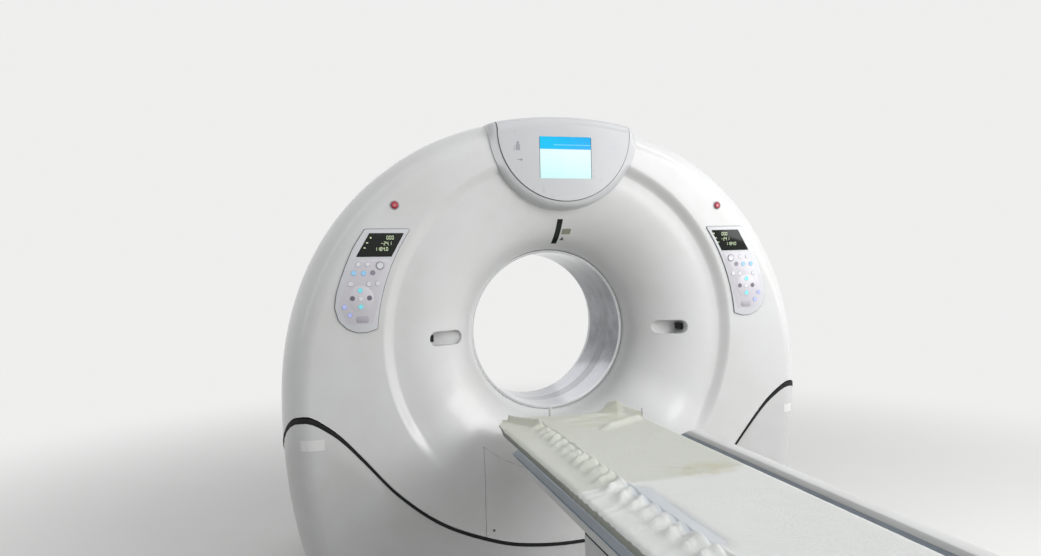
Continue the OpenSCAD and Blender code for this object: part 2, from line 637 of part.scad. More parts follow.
// Ties that carry the tilting covers at both faces
tie_angles = [-130, -45, 45, 130];
tie_r = drum_r + 62;
spider_r = drum_r + 40;
module tilt_frame() color("gray") union() {
    difference() {
        bore_ring(race_split + 5, spider_r, frame_y, frame_y + frame_t);
        for (a = [15 : 30 : 345]) rotate_about_bore(a)
            translate([0, frame_y - 1, iso_h + drum_r - 110]) rotate([-90, 0, 0])
                cylinder(r = 60, h = frame_t + 2);
    }
    for (a = tie_angles) rotate_about_bore(a) {
        translate([-30, frame_y, iso_h + drum_r]) cube([60, frame_t, tie_r + 22 - drum_r]);
        translate([0, half_d - wall - fit_gap, iso_h + tie_r]) rotate([90, 0, 0])
            cylinder(r = 12, h = 2 * (half_d - wall - fit_gap));
    }
    for (s = [-1, 1]) {
        translate([s < 0 ? -arm_out : drum_r, frame_y, iso_h - 130])
            cube([arm_out - drum_r, frame_t, 260]);
        translate([s < 0 ? -arm_out : arm_in, -90, iso_h - 130])
            cube([arm_out - arm_in, frame_y + frame_t + 90, 260]);
        translate([s * (arm_out - 2), 0, iso_h]) rotate([0, s * 90, 0])
            cylinder(r = trunnion_r, h = stand_t + 20);
    }
}
module stator_ring() color("sienna") bore_ring(drum_r + 5, drum_r + 32, drum_y - 50, frame_y - fit_gap);
module brush_block() color("dimgray") difference() {
    translate([-60, drum_y + drum_t + 33, iso_h - 685]) cube([120, frame_y - drum_y - drum_t - 33.3, 90]);
    translate([-40, drum_y + drum_t + 32, iso_h - 670]) cube([80, 30, 60]);
}

// Stands, their trunnion bearings, and the welded frame on the floor
stand_in = arm_out + 10;
stand_out = stand_in + stand_t;
beam_z0 = 20;
beam_z1 = 100;
beam_gap = 38;
// Depth of the base cover's outside at x and height z
function rim_depth(x, z) = let (u = min(1, max(0, x - side_x(z) + rim_r) / rim_r))
    half_d - rim_d + rim_d * sqrt(1 - u * u);
beam_y = round(rim_depth(stand_out, beam_z0) - wall - beam_gap);
bearing_r = trunnion_r + 26;
stand_outline = [[-360, beam_z1 + fit_gap, 10], [360, beam_z1 + fit_gap, 10], [110, iso_h + 105, 90],
    [-110, iso_h + 105, 90]];
stand_hole = [[-190, 230, 40], [190, 230, 40], [95, 760, 40], [-95, 760, 40]];
module stand() difference() {
    translate([stand_in, 0, 0]) rotate([90, 0, 90]) linear_extrude(stand_t) difference() {
        polygon(rounded(stand_outline));
        polygon(rounded(stand_hole));
    }
    translate([stand_in - 1, 0, iso_h]) rotate([0, 90, 0]) cylinder(r = bearing_r + 0.2, h = stand_t + 2);
}
module right_stand() color("dimgray") stand();
module left_stand() color("dimgray") left_half() stand();
module tilt_bearings() color("silver") for (s = [-1, 1]) difference() {
    translate([s * (stand_in + stand_out) / 2, 0, iso_h]) rotate([0, 90, 0])
        cylinder(r = bearing_r, h = stand_t, center = true);
    translate([s * (stand_in + stand_out) / 2, 0, iso_h]) rotate([0, 90, 0])
        cylinder(r = trunnion_r + bearing_gap, h = stand_t + 2, center = true);
}
module tilt_motor() color("darkslategray") union() {
    translate([-stand_out - fit_gap - 80, -80, iso_h - 330]) cube([80, 160, 190]);
    translate([-stand_out - fit_gap - 45, 0, iso_h - 330]) cylinder(r = 42, h = 300 - 40);
    translate([-stand_out - fit_gap - 45, 0, iso_h - 480]) cylinder(r = 38, h = 151);
}
module base_frame() color("dimgray") difference() {
    union() {
        for (s = [-1, 1]) translate([s < 0 ? -stand_out : stand_in - 10, -beam_y, beam_z0])
            cube([stand_t + 10, 2 * beam_y, beam_z1 - beam_z0]);
        for (s = [-1, 1]) translate([-stand_in, s < 0 ? -beam_y - 25 : beam_y - 35, beam_z0])
            cube([2 * stand_in, 60, 68]);
        for (x = anchor_x, y = anchor_y) translate([x, y, 0]) cylinder(r = 34, h = 50);
        for (x = [-540, 540], s = [-1, 1]) translate([x - 40, s < 0 ? -half_d + wall + fit_gap
            : beam_y + 20, beam_z0]) cube([80, half_d - wall - fit_gap - beam_y - 20, 60]);
    }
    for (x = anchor_x, y = anchor_y) translate([x, y, -1]) cylinder(r = anchor_d / 2, h = 120);
}
anchor_x = [-stand_in - 20, stand_in + 20];
anchor_y = [-beam_y + 40, beam_y - 40];
anchor_d = 18;
foot_y = beam_y - 190;
module levelling_feet() color("black") for (x = [-stand_in - 35, 0, stand_in + 35], s = [-1, 1])
    translate([x, s * (x == 0 ? beam_y - 5 : foot_y), 0]) union() {
        cylinder(r = 32, h = 12);
        cylinder(r = 14, h = beam_z0 - fit_gap);
    }
module floor_duct() color("gray") translate([-140, -couch_front_y + fit_gap, 0])
    cube([280, couch_front_y - fit_gap - half_d + 10, floor_gap - 0.5]);

// Couch. It stands on a bolted plinth, and three nested shrouds cover its lifting column.
couch_front_y = 1180;
couch_back_y = 2240;
plinth_half_w = 290;
plinth_h = 20;
plinth_anchor_x = 265;
plinth_anchor_y = [couch_front_y + 45, couch_back_y - 45];
shroud_half_w = 235;
shroud_y0 = 1210;
shroud_y1 = 2210;
shroud_t = 4;
base_shroud_top = 330;
mid_z0 = 178;
mid_z1 = 478;
upper_z0 = 331;
column_y = 1710;
column_r = 92;
column_t = 12;
frame_top = 664;
frame_h = 104;
frame_t2 = 8;
runner_h = 4;
// A long body along the couch: width, height and ends, with rounded corners in plan
module couch_bar(half, y0, y1, z0, z1, r) translate([0, 0, z0]) linear_extrude(z1 - z0)
    polygon(rounded([[-half, -y1, r], [half, -y1, r], [half, -y0, r], [-half, -y0, r]]));
module shroud(step, z0, z1) {
    s = step * (shroud_t + fit_gap);
    difference() {
        couch_bar(shroud_half_w - s, shroud_y0 + s, shroud_y1 - s, z0, z1, 40 - s);
        couch_bar(shroud_half_w - s - shroud_t, shroud_y0 + s + shroud_t, shroud_y1 - s - shroud_t,
            z0 - 1, z1 + 1, 36 - s);
    }
}
module column(step, z0, z1) {
    r = column_r - step * (column_t + fit_gap);
    translate([0, -column_y, z0]) difference() {
        cylinder(r = r, h = z1 - z0);
        translate([0, 0, -1]) cylinder(r = r - column_t, h = z1 - z0 + 2);
    }
}
module couch_plinth() color("lightgray") difference() {
    couch_bar(plinth_half_w, couch_front_y, couch_back_y, 0, plinth_h, 50);
    for (s = [-1, 1], y = plinth_anchor_y) translate([s * plinth_anchor_x, -y, -1])
        cylinder(r = 7, h = plinth_h + 2);
}
module couch_base_shroud() color("whitesmoke") shroud(0, plinth_h + fit_gap, base_shroud_top);
module couch_middle_shroud() color("whitesmoke") shroud(1, mid_z0, mid_z1);
module couch_upper_shroud() color("whitesmoke") shroud(2, upper_z0, frame_top - frame_t2 - fit_gap);
module lift_column_outer() color("gray") column(0, plinth_h + fit_gap, base_shroud_top);
module lift_column_middle() color("silver") column(1, mid_z0, mid_z1);
module lift_column_inner() color("silver") column(2, upper_z0, frame_top - frame_t2 - fit_gap);
module lift_motor() color("darkslategray") translate([0, -column_y + 330, plinth_h + fit_gap]) union() {
    translate([-75, -75, 0]) cube([150, 150, 40]);
    cylinder(r = 58, h = 215);
    translate([-35, -column_y + 1380 + 112, 0]) cube([70, 150, 36]);
}
module couch_frame() color("whitesmoke") union() {
    difference() {
        couch_bar(frame_w / 2, frame_front, frame_front + frame_len, frame_top - frame_h, frame_top, 24);
        couch_bar(frame_w / 2 - frame_t2, frame_front + frame_t2, frame_front + frame_len - frame_t2,
            frame_top - frame_h - 1, frame_top - frame_t2, 16);
    }
    for (s = [-1, 1]) translate([s * 110 - 14, -frame_front - frame_len + 60, frame_top - 1])
        cube([28, frame_len - 90, runner_h + 1]);
}
rail_w = 57;
rail_z0 = 625;
rail_nose = 200;
module side_rail() difference() {
    translate([frame_w / 2 + fit_gap, -frame_front - 10, 0]) rotate([90, 0, 0]) linear_extrude(frame_len - 20)
        polygon(rounded([[0, rail_z0, 6], [rail_w - 14, rail_z0, 8], [rail_w, rail_z0 + 20, 16],
            [rail_w, rail_z0 + rail_h - 18, 16], [rail_w - 16, rail_z0 + rail_h, 14],
            [0, rail_z0 + rail_h, 8]]));
    translate([frame_w / 2 - 20, -frame_front - 10, rail_z0 + 8]) rotate([0, 90, 0])
        linear_extrude(rail_w + 60) polygon([[0, 1], [-rail_h - 10, 1], [-rail_h - 10, -rail_nose]]);
}
module side_rails() color("lightsteelblue") {
    side_rail();
    left_half() side_rail();
}
slide_y = frame_front + frame_len - 320;
module slide_motor() color("darkslategray") union() {
    translate([-80, -slide_y, frame_top - frame_t2 - fit_gap - 62]) cube([160, 190, 62]);
    translate([0, 180 - slide_y, frame_top - frame_t2 - 36]) rotate([-90, 0, 0])
        cylinder(r = 26, h = 120);
}
table_bottom = frame_top + runner_h + fit_gap;
function trough_z(x) = table_h - trough * (1 - pow(x / (table_w / 2), 2));
module along_couch(y0, y1) translate([0, -y0, 0]) rotate([90, 0, 0]) linear_extrude(y1 - y0)
    children();
module tabletop() color("gainsboro") difference() {
    intersection() {
        along_couch(table_front, table_front + table_len) polygon(concat(
            [for (i = [0 : 16]) let (x = table_w * (i / 16 - 0.5)) [x, trough_z(x)]],
            [[table_w / 2, table_h - table_t], [table_w / 2 - 70, table_bottom],
            [70 - table_w / 2, table_bottom], [-table_w / 2, table_h - table_t]]));
        couch_bar(table_w / 2 + 0.01, table_front, table_front + table_len, table_bottom - 1,
            table_h + 1, 50);
    }
    translate([post_x, -table_front - post_in, post_z]) cylinder(r = post_r + fit_gap, h = 60);
}
post_x = -105;
post_in = 17;
post_r = 6;
post_z = 676;
post_top = 742;
side_post_y = 690;
module head_posts() color("white") {
    translate([post_x, -table_front - post_in, post_z + fit_gap]) cylinder(r = post_r, h = post_top - post_z);
    translate([table_w / 2 + fit_gap + post_r, -side_post_y, table_h - table_t - 6])
        cylinder(r = post_r, h = post_top - table_h + table_t + 6);
}
pad_front = table_front + 42;
pad_end = table_front + table_len - 40;
pad_half_w = 216;
function pad_top(x) = table_h + 5 - 8 * (1 - pow(x / pad_half_w, 2));
module mattress() color("ivory") along_couch(pad_front, pad_end) polygon(concat(
    [for (i = [0 : 16]) let (x = pad_half_w * (i / 8 - 1)) [x, trough_z(x) + 0.4]],
    [for (i = [16 : -1 : 0]) let (x = pad_half_w * (i / 8 - 1)) [x, pad_top(x)]]));
sheet_t = 2.5;
sheet_left = -297;
module sheet() color("ivory") along_couch(pad_front - 4, pad_end + 10) polygon(concat(
    [[sheet_left, table_bottom + 1.5], [sheet_left + 20, table_bottom + 14],
        [-table_w / 2 - 4, table_h - 6], [-table_w / 2 - 2, table_h + 1],
        [-pad_half_w - 1, table_h + 5.5]],
    [for (i = [1 : 15]) let (x = pad_half_w * (i / 8 - 1)) [x, pad_top(x) + 0.4]],
    [[pad_half_w + 1, table_h + 5.5], [table_w / 2 - 4, table_h + 1],
        [table_w / 2 - 3, table_h + 1 + sheet_t], [pad_half_w + 2, table_h + 5.5 + sheet_t]],
    [for (i = [15 : -1 : 1]) let (x = pad_half_w * (i / 8 - 1)) [x, pad_top(x) + 0.4 + sheet_t]],
    [[-pad_half_w - 2, table_h + 5.5 + sheet_t], [-table_w / 2 - 4.5, table_h + 2.5],
        [-table_w / 2 - 7, table_h - 5], [sheet_left + 18, table_bottom + 17],
        [sheet_left - 1, table_bottom + 4]]));

base_frame();
left_stand();
right_stand();
tilt_bearings();
tilt_motor();
front_base_cover();
rear_base_cover();
cover_seals();
levelling_feet();
floor_duct();
couch_plinth();
couch_base_shroud();
lift_column_outer();
lift_motor();
tilt_frame();
front_cover();
rear_cover();
bore_liner();
bore_trims();
crown_housing();
crown_bezel();
crown_screen();
left_control_panel();
right_control_panel();
control_displays();
left_keypad();
right_keypad();
laser_housings();
laser_windows();
top_laser_window();
access_panel();
estop_collars();
bearing_outer_race();
stator_ring();
brush_block();
rotor_drum();
bearing_inner_race();
slip_ring();
xray_tube();
collimator();
high_voltage_generator();
detector_arc();
counterweights();
left_estop();
right_estop();
left_enable_key();
right_enable_key();
couch_middle_shroud();
lift_column_middle();
couch_frame();
couch_upper_shroud();
lift_column_inner();
side_rails();
slide_motor();
tabletop();
mattress();
sheet();
head_posts();
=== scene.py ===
# %% [markdown]
# # A CT scanner, dressed around its solids
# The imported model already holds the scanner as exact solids: a tilting ring on two stands, its
# fixed base covers, and a lifting couch. This script keeps their places and gives each visible
# surface the shape and finish of the real thing. Everything is in metres, with the floor at zero
# and the bore's axis along Y at the height ISO. Many pieces come in a left and a right one.

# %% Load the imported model
import math

import bmesh
import bpy
import numpy as np
from mathutils import Matrix, Vector, noise


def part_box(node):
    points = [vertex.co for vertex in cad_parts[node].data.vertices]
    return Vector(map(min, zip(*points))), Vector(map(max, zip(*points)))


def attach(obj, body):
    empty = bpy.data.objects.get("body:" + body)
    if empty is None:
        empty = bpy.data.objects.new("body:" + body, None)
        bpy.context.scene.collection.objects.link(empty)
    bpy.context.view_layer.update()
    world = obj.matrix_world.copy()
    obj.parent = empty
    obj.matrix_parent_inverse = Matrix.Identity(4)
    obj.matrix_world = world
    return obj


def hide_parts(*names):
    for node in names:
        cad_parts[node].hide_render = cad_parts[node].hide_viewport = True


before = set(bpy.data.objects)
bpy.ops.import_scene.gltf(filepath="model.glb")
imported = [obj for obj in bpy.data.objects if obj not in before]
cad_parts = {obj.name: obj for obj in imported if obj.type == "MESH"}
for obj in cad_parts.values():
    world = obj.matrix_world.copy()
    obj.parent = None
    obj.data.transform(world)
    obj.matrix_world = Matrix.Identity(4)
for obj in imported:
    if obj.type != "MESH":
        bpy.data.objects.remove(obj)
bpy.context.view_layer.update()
ISO = 1.040
SIDES = ((-1, "left"), (1, "right"))

# %% [markdown]
# ## The camera
# The picture was taken from about head height, a metre to the left of the bore and three and a
# half metres in front of it, with a wide lens that leans a little to one side. A camera is turned
# by a matrix here, because its three axes are easier to check as vectors than as angles.

# %% Place the camera
EYE = Vector((-1.024, -3.379, 1.343))
YAW, PITCH, ROLL = (math.radians(a) for a in (15.7, -1.04, -1.32))
LENS_MM, SENSOR_MM = 24.66, 36

ahead = Vector((math.sin(YAW) * math.cos(PITCH), math.cos(YAW) * math.cos(PITCH), math.sin(PITCH)))
level = ahead.cross(Vector((0, 0, 1))).normalized()
upright = level.cross(ahead)
right = level * math.cos(ROLL) + upright * math.sin(ROLL)
above = upright * math.cos(ROLL) - level * math.sin(ROLL)
camera = bpy.data.objects.new("camera", bpy.data.cameras.new("camera"))
bpy.context.scene.collection.objects.link(camera)
camera.matrix_world = Matrix((right, above, -ahead)).transposed().to_4x4()
camera.location = EYE
camera.data.lens = LENS_MM
camera.data.sensor_width = SENSOR_MM
bpy.context.scene.camera = camera
bpy.context.scene.view_settings.view_transform = "Standard"
print("camera at", tuple(round(v, 3) for v in EYE), "looks along", tuple(round(v, 3) for v in ahead))

# %% [markdown]
# ## A shorthand for finishes
# A finish is a network of nodes. Wrapped in a small class, a node's output can be added and
# multiplied like a number in Python, so a recipe such as "rougher where it is smudged" stays one
# readable line. Colours go through a Mix node, because a Math node would turn them grey.

# %% Sockets that do arithmetic
class Socket:
    """The output of a shader node. Python's signs on it add Math nodes."""

    def __init__(self, finish, link):
        self.finish = finish
        self.link = link

    def maths(self, operation, first, second=0.0):
        return self.finish.node("Math", {"operation": operation}, {0: first, 1: second})

    def __add__(self, other):
        return self.maths("ADD", self, other)

    def __sub__(self, other):
        return self.maths("SUBTRACT", self, other)

    def __rsub__(self, other):
        return self.maths("SUBTRACT", other, self)

    def __mul__(self, other):
        return self.maths("MULTIPLY", self, other)

    def __truediv__(self, other):
        return self.maths("DIVIDE", self, other)

    def __pow__(self, other):
        return self.maths("POWER", self, other)

    __radd__ = __add__
    __rmul__ = __mul__

    def sine(self):
        return self.maths("SINE", self)

    def above(self, edge, soft):
        """0 below the edge and 1 above it, turning over within soft."""
        settings = {"interpolation_type": "SMOOTHSTEP"}
        return self.finish.node("MapRange", settings, {0: self, 1: edge - soft, 2: edge + soft})


# %% Finishes made of nodes
class Finish:
    """A material whose nodes are written as Python expressions."""

    def __init__(self, name, colour, roughness=0.5, **values):
        self.material = bpy.data.materials.new(name)
        self.material.use_nodes = True
        self.tree = self.material.node_tree
        self.shader = self.tree.nodes["Principled BSDF"]
        self.set("Base Color", colour)
        self.set("Roughness", roughness)
        for key, value in values.items():
            self.set(key.replace("_", " ").title().replace("Ior", "IOR"), value)

    def feed(self, socket, value):
        if isinstance(value, Socket):
            self.tree.links.new(value.link, socket)
        elif socket.type == "RGBA" and len(value) == 3:
            socket.default_value = (*value, 1)
        else:
            socket.default_value = value

    def set(self, name, value):
        self.feed(self.shader.inputs[name], value)

    def node(self, kind, settings=None, values=None, output=0):
        """Adds a node: its settings come first, then the values or links of its sockets."""
        made = self.tree.nodes.new("ShaderNode" + kind)
        for key, value in (settings or {}).items():
            setattr(made, key, value)
        for key, value in (values or {}).items():
            self.feed(made.inputs[key], value)
        return Socket(self, made.outputs[output])

    def place(self, stretch=(1, 1, 1), move=(0, 0, 0)):
        """Object coordinates, in metres, stretched and moved."""
        where = self.node("TexCoord", output=3)
        return self.node("Mapping", None, {0: where, 1: move, 3: stretch})

    def axis(self, number, place=None):
        """One of the three coordinates as a value."""
        return self.node("SeparateXYZ", None, {0: place or self.place()}, output=number)

    def cloud(self, size, detail=3.0, place=None, rough=0.5, output=0):
        """Soft noise whose blobs are about size metres across."""
        values = {"Vector": place or self.place(), "Scale": 1 / size, "Detail": detail,
                  "Roughness": rough}
        return self.node("TexNoise", None, values, output)

    def blend(self, factor, first, second):
        return self.node("Mix", {"data_type": "RGBA"}, {0: factor, 6: first, 7: second}, output=2)

    def bump(self, height, depth, strength=1.0):
        values = {"Height": height, "Distance": depth, "Strength": strength}
        self.set("Normal", self.node("Bump", None, values))
        return self


# %% [markdown]
# ## Plastics, paint and rubber
# The covers are thick moulded plastic with a gloss lacquer. Under soft light such a surface is
# never one even grey: it has the faint ripple of the mould, and a haze of wiped-off fingerprints
# that makes some patches duller. A painted picture could hold both, but it would need a layout of
# its own for each cover. Slow noises in space need none and run on across every joint: the first
# goes into the bump and the second into the roughness.

# %% Mix the plastics and paints
def lacquer(name, colour, gloss=0.26, grime=0.04):
    """Gloss moulded plastic with a wiped haze and the faint ripple of the mould."""
    made = Finish(name, colour, coat_weight=0.35, coat_roughness=0.12)
    haze = made.cloud(0.16, 4) * made.cloud(0.022, 3)
    dirt = made.cloud(0.45, 5, rough=0.65).above(0.52, 0.2)
    shade = tuple(c * (1 - k * grime) for c, k in zip(colour, (2.1, 2.3, 2.7)))
    made.set("Base Color", made.blend(dirt * 0.75, colour, shade))
    made.set("Roughness", haze * 0.36 + gloss)
    ripple = made.cloud(0.035, 2) * 0.8 + made.cloud(0.0016, 1) * 0.2
    return made.bump(ripple, 0.00022)


def paint(name, colour, roughness=0.42):
    """Sprayed paint over steel, with orange peel and rubbed patches."""
    made = Finish(name, colour)
    worn = made.cloud(0.09, 5, rough=0.7).above(0.62, 0.08)
    dull = tuple(c * 0.72 for c in colour)
    made.set("Base Color", made.blend(worn * 0.6, colour, dull))
    made.set("Roughness", made.cloud(0.03, 3) * 0.25 + roughness - 0.1)
    return made.bump(made.cloud(0.0022, 2), 0.00035)


def rubber(name, colour, grain=0.0009):
    """Moulded rubber: matt, a little dusty, finely pitted."""
    made = Finish(name, colour)
    dust = made.cloud(0.05, 5, rough=0.7).above(0.55, 0.15)
    made.set("Base Color", made.blend(dust * 0.3, colour, tuple(c + 0.03 for c in colour)))
    made.set("Roughness", made.cloud(0.01, 3) * 0.2 + 0.5)
    made.set("Specular IOR Level", 0.22)
    return made.bump(made.cloud(grain, 2), 0.0002)


cover_white = lacquer("cover_white", (0.74, 0.742, 0.742))
# The base covers are the same white plastic, painted darker: painted shade for the dimmer light low down
# and under the couch.
shaded_base_white = lacquer("shaded_base_white", (0.64, 0.643, 0.643), gloss=0.3, grime=0.06)
# The crown's pod and plate are painted greyer than the covers: painted shade for the dimmer light on the
# crown.
shaded_crown_white = lacquer("shaded_crown_white", (0.60, 0.605, 0.62), gloss=0.22, grime=0.02)
panel_white = lacquer("panel_white", (0.70, 0.708, 0.74), gloss=0.3, grime=0.02)
keypad_white = lacquer("keypad_white", (0.70, 0.68, 0.73), gloss=0.34, grime=0.02)
couch_white = lacquer("couch_white", (0.70, 0.702, 0.70), gloss=0.3, grime=0.06)
frame_paint = paint("frame_paint", (0.32, 0.34, 0.36))
stand_paint = paint("stand_paint", (0.22, 0.24, 0.26))
motor_paint = paint("motor_paint", (0.045, 0.055, 0.07), 0.38)
black_rubber = rubber("black_rubber", (0.012, 0.012, 0.013))
# Dark grey for thin strips round plates: painted shade, standing for the shadow in their joints.
shade_line_grey = rubber("shade_line_grey", (0.11, 0.11, 0.125))

# %% [markdown]
# ## Metals
# Two kinds of bare metal show. Turned parts carry fine rings about the bore's axis, and extruded
# rails carry long streaks along the couch. The Anisotropic setting could stretch the highlights,
# but it needs tangents and draws no marks. So a streak is a noise whose coordinates are squeezed
# along one axis, and a ring is a noise of the distance from the axis.

# %% Mix the metals
def turned(name, colour, roughness=0.28):
    """Metal turned on a lathe: rings about the bore's axis."""
    made = Finish(name, colour, metallic=1.0)
    x, z = made.axis(0), made.axis(2) - ISO
    radius = (x * x + z * z) ** 0.5
    ring = made.node("TexNoise", {"noise_dimensions": "1D"}, {"W": radius * 900, "Detail": 3.0})
    made.set("Roughness", ring * 0.22 + made.cloud(0.06, 4) * 0.15 + roughness - 0.16)
    return made.bump(ring, 0.00006)


def brushed(name, colour, stretch, roughness=0.34, metal=1.0):
    """Drawn or extruded metal: streaks along the axis that stretch leaves long."""
    made = Finish(name, colour, metallic=metal)
    streak = made.cloud(0.004, 3, made.place(stretch))
    stain = made.cloud(0.12, 4, rough=0.6).above(0.55, 0.15)
    made.set("Base Color", made.blend(stain * 0.35, colour, tuple(c * 0.8 for c in colour)))
    made.set("Roughness", streak * 0.22 + stain * 0.08 + roughness - 0.12)
    return made.bump(streak, 0.00005)


rail_metal = brushed("rail_metal", (0.42, 0.47, 0.53), (1, 0.02, 1), metal=0.75)
column_metal = brushed("column_metal", (0.62, 0.63, 0.64), (1, 1, 0.03), 0.22)
bearing_steel = turned("bearing_steel", (0.56, 0.57, 0.58))
drum_metal = turned("drum_metal", (0.36, 0.38, 0.40), 0.4)
slip_brass = turned("slip_brass", (0.78, 0.60, 0.28), 0.26)
winding_copper = turned("winding_copper", (0.60, 0.28, 0.14), 0.42)
trim_bright = Finish("trim_bright", (0.78, 0.79, 0.80), metallic=0.35, coat_weight=0.5)
trim_bright.set("Roughness", trim_bright.cloud(0.05, 3) * 0.12 + 0.1)

# %% [markdown]
# ## The lining of the bore
# A thin clear film lines the bore over a dark tube. It mirrors what is round it, so its lower half,
# which faces up to the light, looks bright and its upper half almost black. A darker band crosses
# it where the fan of X-rays passes, between two fine joints. Reflection alone would leave the tube
# one even tone here, so the lower half is painted lighter, a painted reflection of the lit room, and
# the upper half keeps the dark tone. Height decides between the two, and the distance from the
# middle plane draws the band.

# %% Mix the lining
BAND_HALF, JOINT_HALF = 0.04, 0.0012
bore_film = Finish("bore_film", (0.3, 0.3, 0.3), metallic=0.62, coat_weight=0.6)
bore_film.set("Coat Roughness", 0.07)
along = bore_film.axis(1)
in_band = 1 - (along * along).above(BAND_HALF ** 2, 0.00006)
from_joint = (along * along) ** 0.5 - BAND_HALF
joint = (1 - from_joint.above(JOINT_HALF, 0.0004)) * from_joint.above(-JOINT_HALF, 0.0004)
cloudy = bore_film.cloud(0.07, 4, rough=0.6)
film = bore_film.blend(cloudy.above(0.5, 0.2), (0.18, 0.19, 0.22), (0.08, 0.085, 0.10))
# Painted reflection: below a height near the axis the film is painted a paler grey, for the lit room that
# it mirrors.
below = 1 - (bore_film.axis(2) + bore_film.cloud(0.2, 3) * 0.12).above(0.92, 0.10)
film = bore_film.blend(below, film, bore_film.blend(cloudy, (0.50, 0.52, 0.57), (0.38, 0.40, 0.45)))
film = bore_film.blend(in_band * 0.55, film, (0.10, 0.105, 0.12))
bore_film.set("Base Color", bore_film.blend(joint, film, (0.03, 0.03, 0.035)))
bore_film.set("Roughness", bore_film.cloud(0.03, 3) * 0.12 + 0.06)
bore_film.bump(bore_film.cloud(0.12, 2) - joint * 0.4, 0.0016)

# %% [markdown]
# ## Modelling helpers
# Each new piece starts as one of Blender's primitives. Because the shapes on this scanner are
# defined by formulas, the usual start is a grid or a circle whose points are laid on a curve, and
# then extruded, bevelled, cut or thickened as by hand. An operator acts on all that is selected,
# so every helper first selects its own piece and nothing else.

# %% Helpers for picking and naming pieces
def pick(*pieces):
    """Selects only these pieces and makes the first one active."""
    bpy.ops.object.select_all(action="DESELECT")
    for piece in pieces:
        piece.select_set(True)
    bpy.context.view_layer.objects.active = pieces[0]
    return pieces[0]


def named(name):
    """The primitive that was just added, under its own name."""
    piece = bpy.context.object
    piece.name = name
    piece.data.name = name
    return piece


def apply_place(piece):
    """Moves the place of a piece into its mesh, so that its object sits at the origin."""
    pick(piece)
    bpy.ops.object.transform_apply(location=True, rotation=True, scale=True)
    return piece


# %% Helpers that run modifiers and operators
def modify(piece, kind, **settings):
    """Adds a modifier and applies it at once."""
    pick(piece)
    made = piece.modifiers.new(kind.lower(), kind)
    for key, value in settings.items():
        setattr(made, key, value)
    bpy.ops.object.modifier_apply(modifier=made.name)
    return piece


def edit(piece, *steps):
    """Runs operators on a piece in edit mode. Each step is a function or (operator, settings)."""
    pick(piece)
    bpy.ops.object.mode_set(mode="EDIT")
    bpy.ops.mesh.select_all(action="SELECT")
    for operator, settings in steps:
        operator(**settings)
    bpy.ops.object.mode_set(mode="OBJECT")
    return piece


def weld(piece, distance=0.00002):
    """Merges points that lie on one another."""
    return edit(piece, (bpy.ops.mesh.remove_doubles, {"threshold": distance}))


# %% Helpers that turn faces outwards
def face_towards(piece, way):
    """Turns an open surface over if it faces away from a direction."""
    way = Vector(way)
    if sum(f.area * f.normal.dot(way) for f in piece.data.polygons) < 0:
        edit(piece, (bpy.ops.mesh.flip_normals, {}))
    return piece


def outward(piece):
    """Turns a closed shell over if its faces point inwards."""
    mesh = bmesh.new()
    mesh.from_mesh(piece.data)
    volume = mesh.calc_volume(signed=True)
    mesh.free()
    return edit(piece, (bpy.ops.mesh.flip_normals, {})) if volume < 0 else piece


def mirrored(piece, scale):
    """Turns a closed piece into its mirror image about the origin."""
    piece.scale = scale
    return outward(apply_place(piece))


# %% Helpers that shade, join, cut and copy
def smooth(piece, degrees=35):
    """Shades a piece smooth, apart from edges that bend by more than this angle."""
    pick(piece)
    bpy.ops.object.shade_smooth_by_angle(angle=math.radians(degrees))
    return piece


def join(name, pieces):
    """Makes several pieces one mesh under a name."""
    pick(*pieces)
    if len(pieces) > 1:
        bpy.ops.object.join()
    return named(name)


def cut(piece, *tools):
    """Takes the shapes of the tools out of a piece, and the tools out of the scene."""
    for tool in tools:
        modify(piece, "BOOLEAN", object=tool, operation="DIFFERENCE", solver="EXACT")
        bpy.data.objects.remove(tool)
    return piece


def copied(piece, shift=(0, 0, 0)):
    """A copy with its own mesh, moved along a vector."""
    twin = piece.copy()
    twin.data = piece.data.copy()
    bpy.context.scene.collection.objects.link(twin)
    twin.data.transform(Matrix.Translation(shift))
    return twin


# %% Helper that finishes a piece
def finished(piece, finish, body, replaces=(), degrees=35):
    """Gives a finished piece its shading and material, sets it on its body, and hides the solids it
    replaces.
    """
    smooth(piece, degrees)
    piece.data.materials.clear()
    piece.data.materials.append(finish.material)
    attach(piece, body)
    if replaces:
        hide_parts(*replaces)
    return piece


# %% Helpers that lay a primitive on points
def laid_grid(name, rows):
    """A grid whose points are laid on rows of places."""
    rows = np.asarray(rows, float)
    down, across = rows.shape[:2]
    bpy.ops.mesh.primitive_grid_add(x_subdivisions=across - 1, y_subdivisions=down - 1, size=1)
    piece = named(name)
    piece.data.vertices.foreach_set("co", rows.reshape(-1))
    piece.data.update()
    return piece


def laid_plate(name, outline, front, back, bevel=0.0, steps=3):
    """A plate standing in the face: an outline of x and height over the bore's axis, extruded."""
    bpy.ops.mesh.primitive_circle_add(vertices=len(outline), fill_type="NGON")
    piece = named(name)
    points = [(x, -front, ISO + z) for x, z in outline]
    piece.data.vertices.foreach_set("co", np.array(points, float).reshape(-1))
    face_towards(piece, (0, -1, 0))
    move = {"value": (0, front - back, 0)}
    edit(piece, (bpy.ops.mesh.extrude_region_move, {"TRANSFORM_OT_translate": move}))
    edit(piece, (bpy.ops.mesh.normals_make_consistent, {"inside": False}))
    if bevel:
        soften(piece, lambda e: all(v.co.y < -front + 1e-5 for v in e.verts), bevel, steps)
    return piece


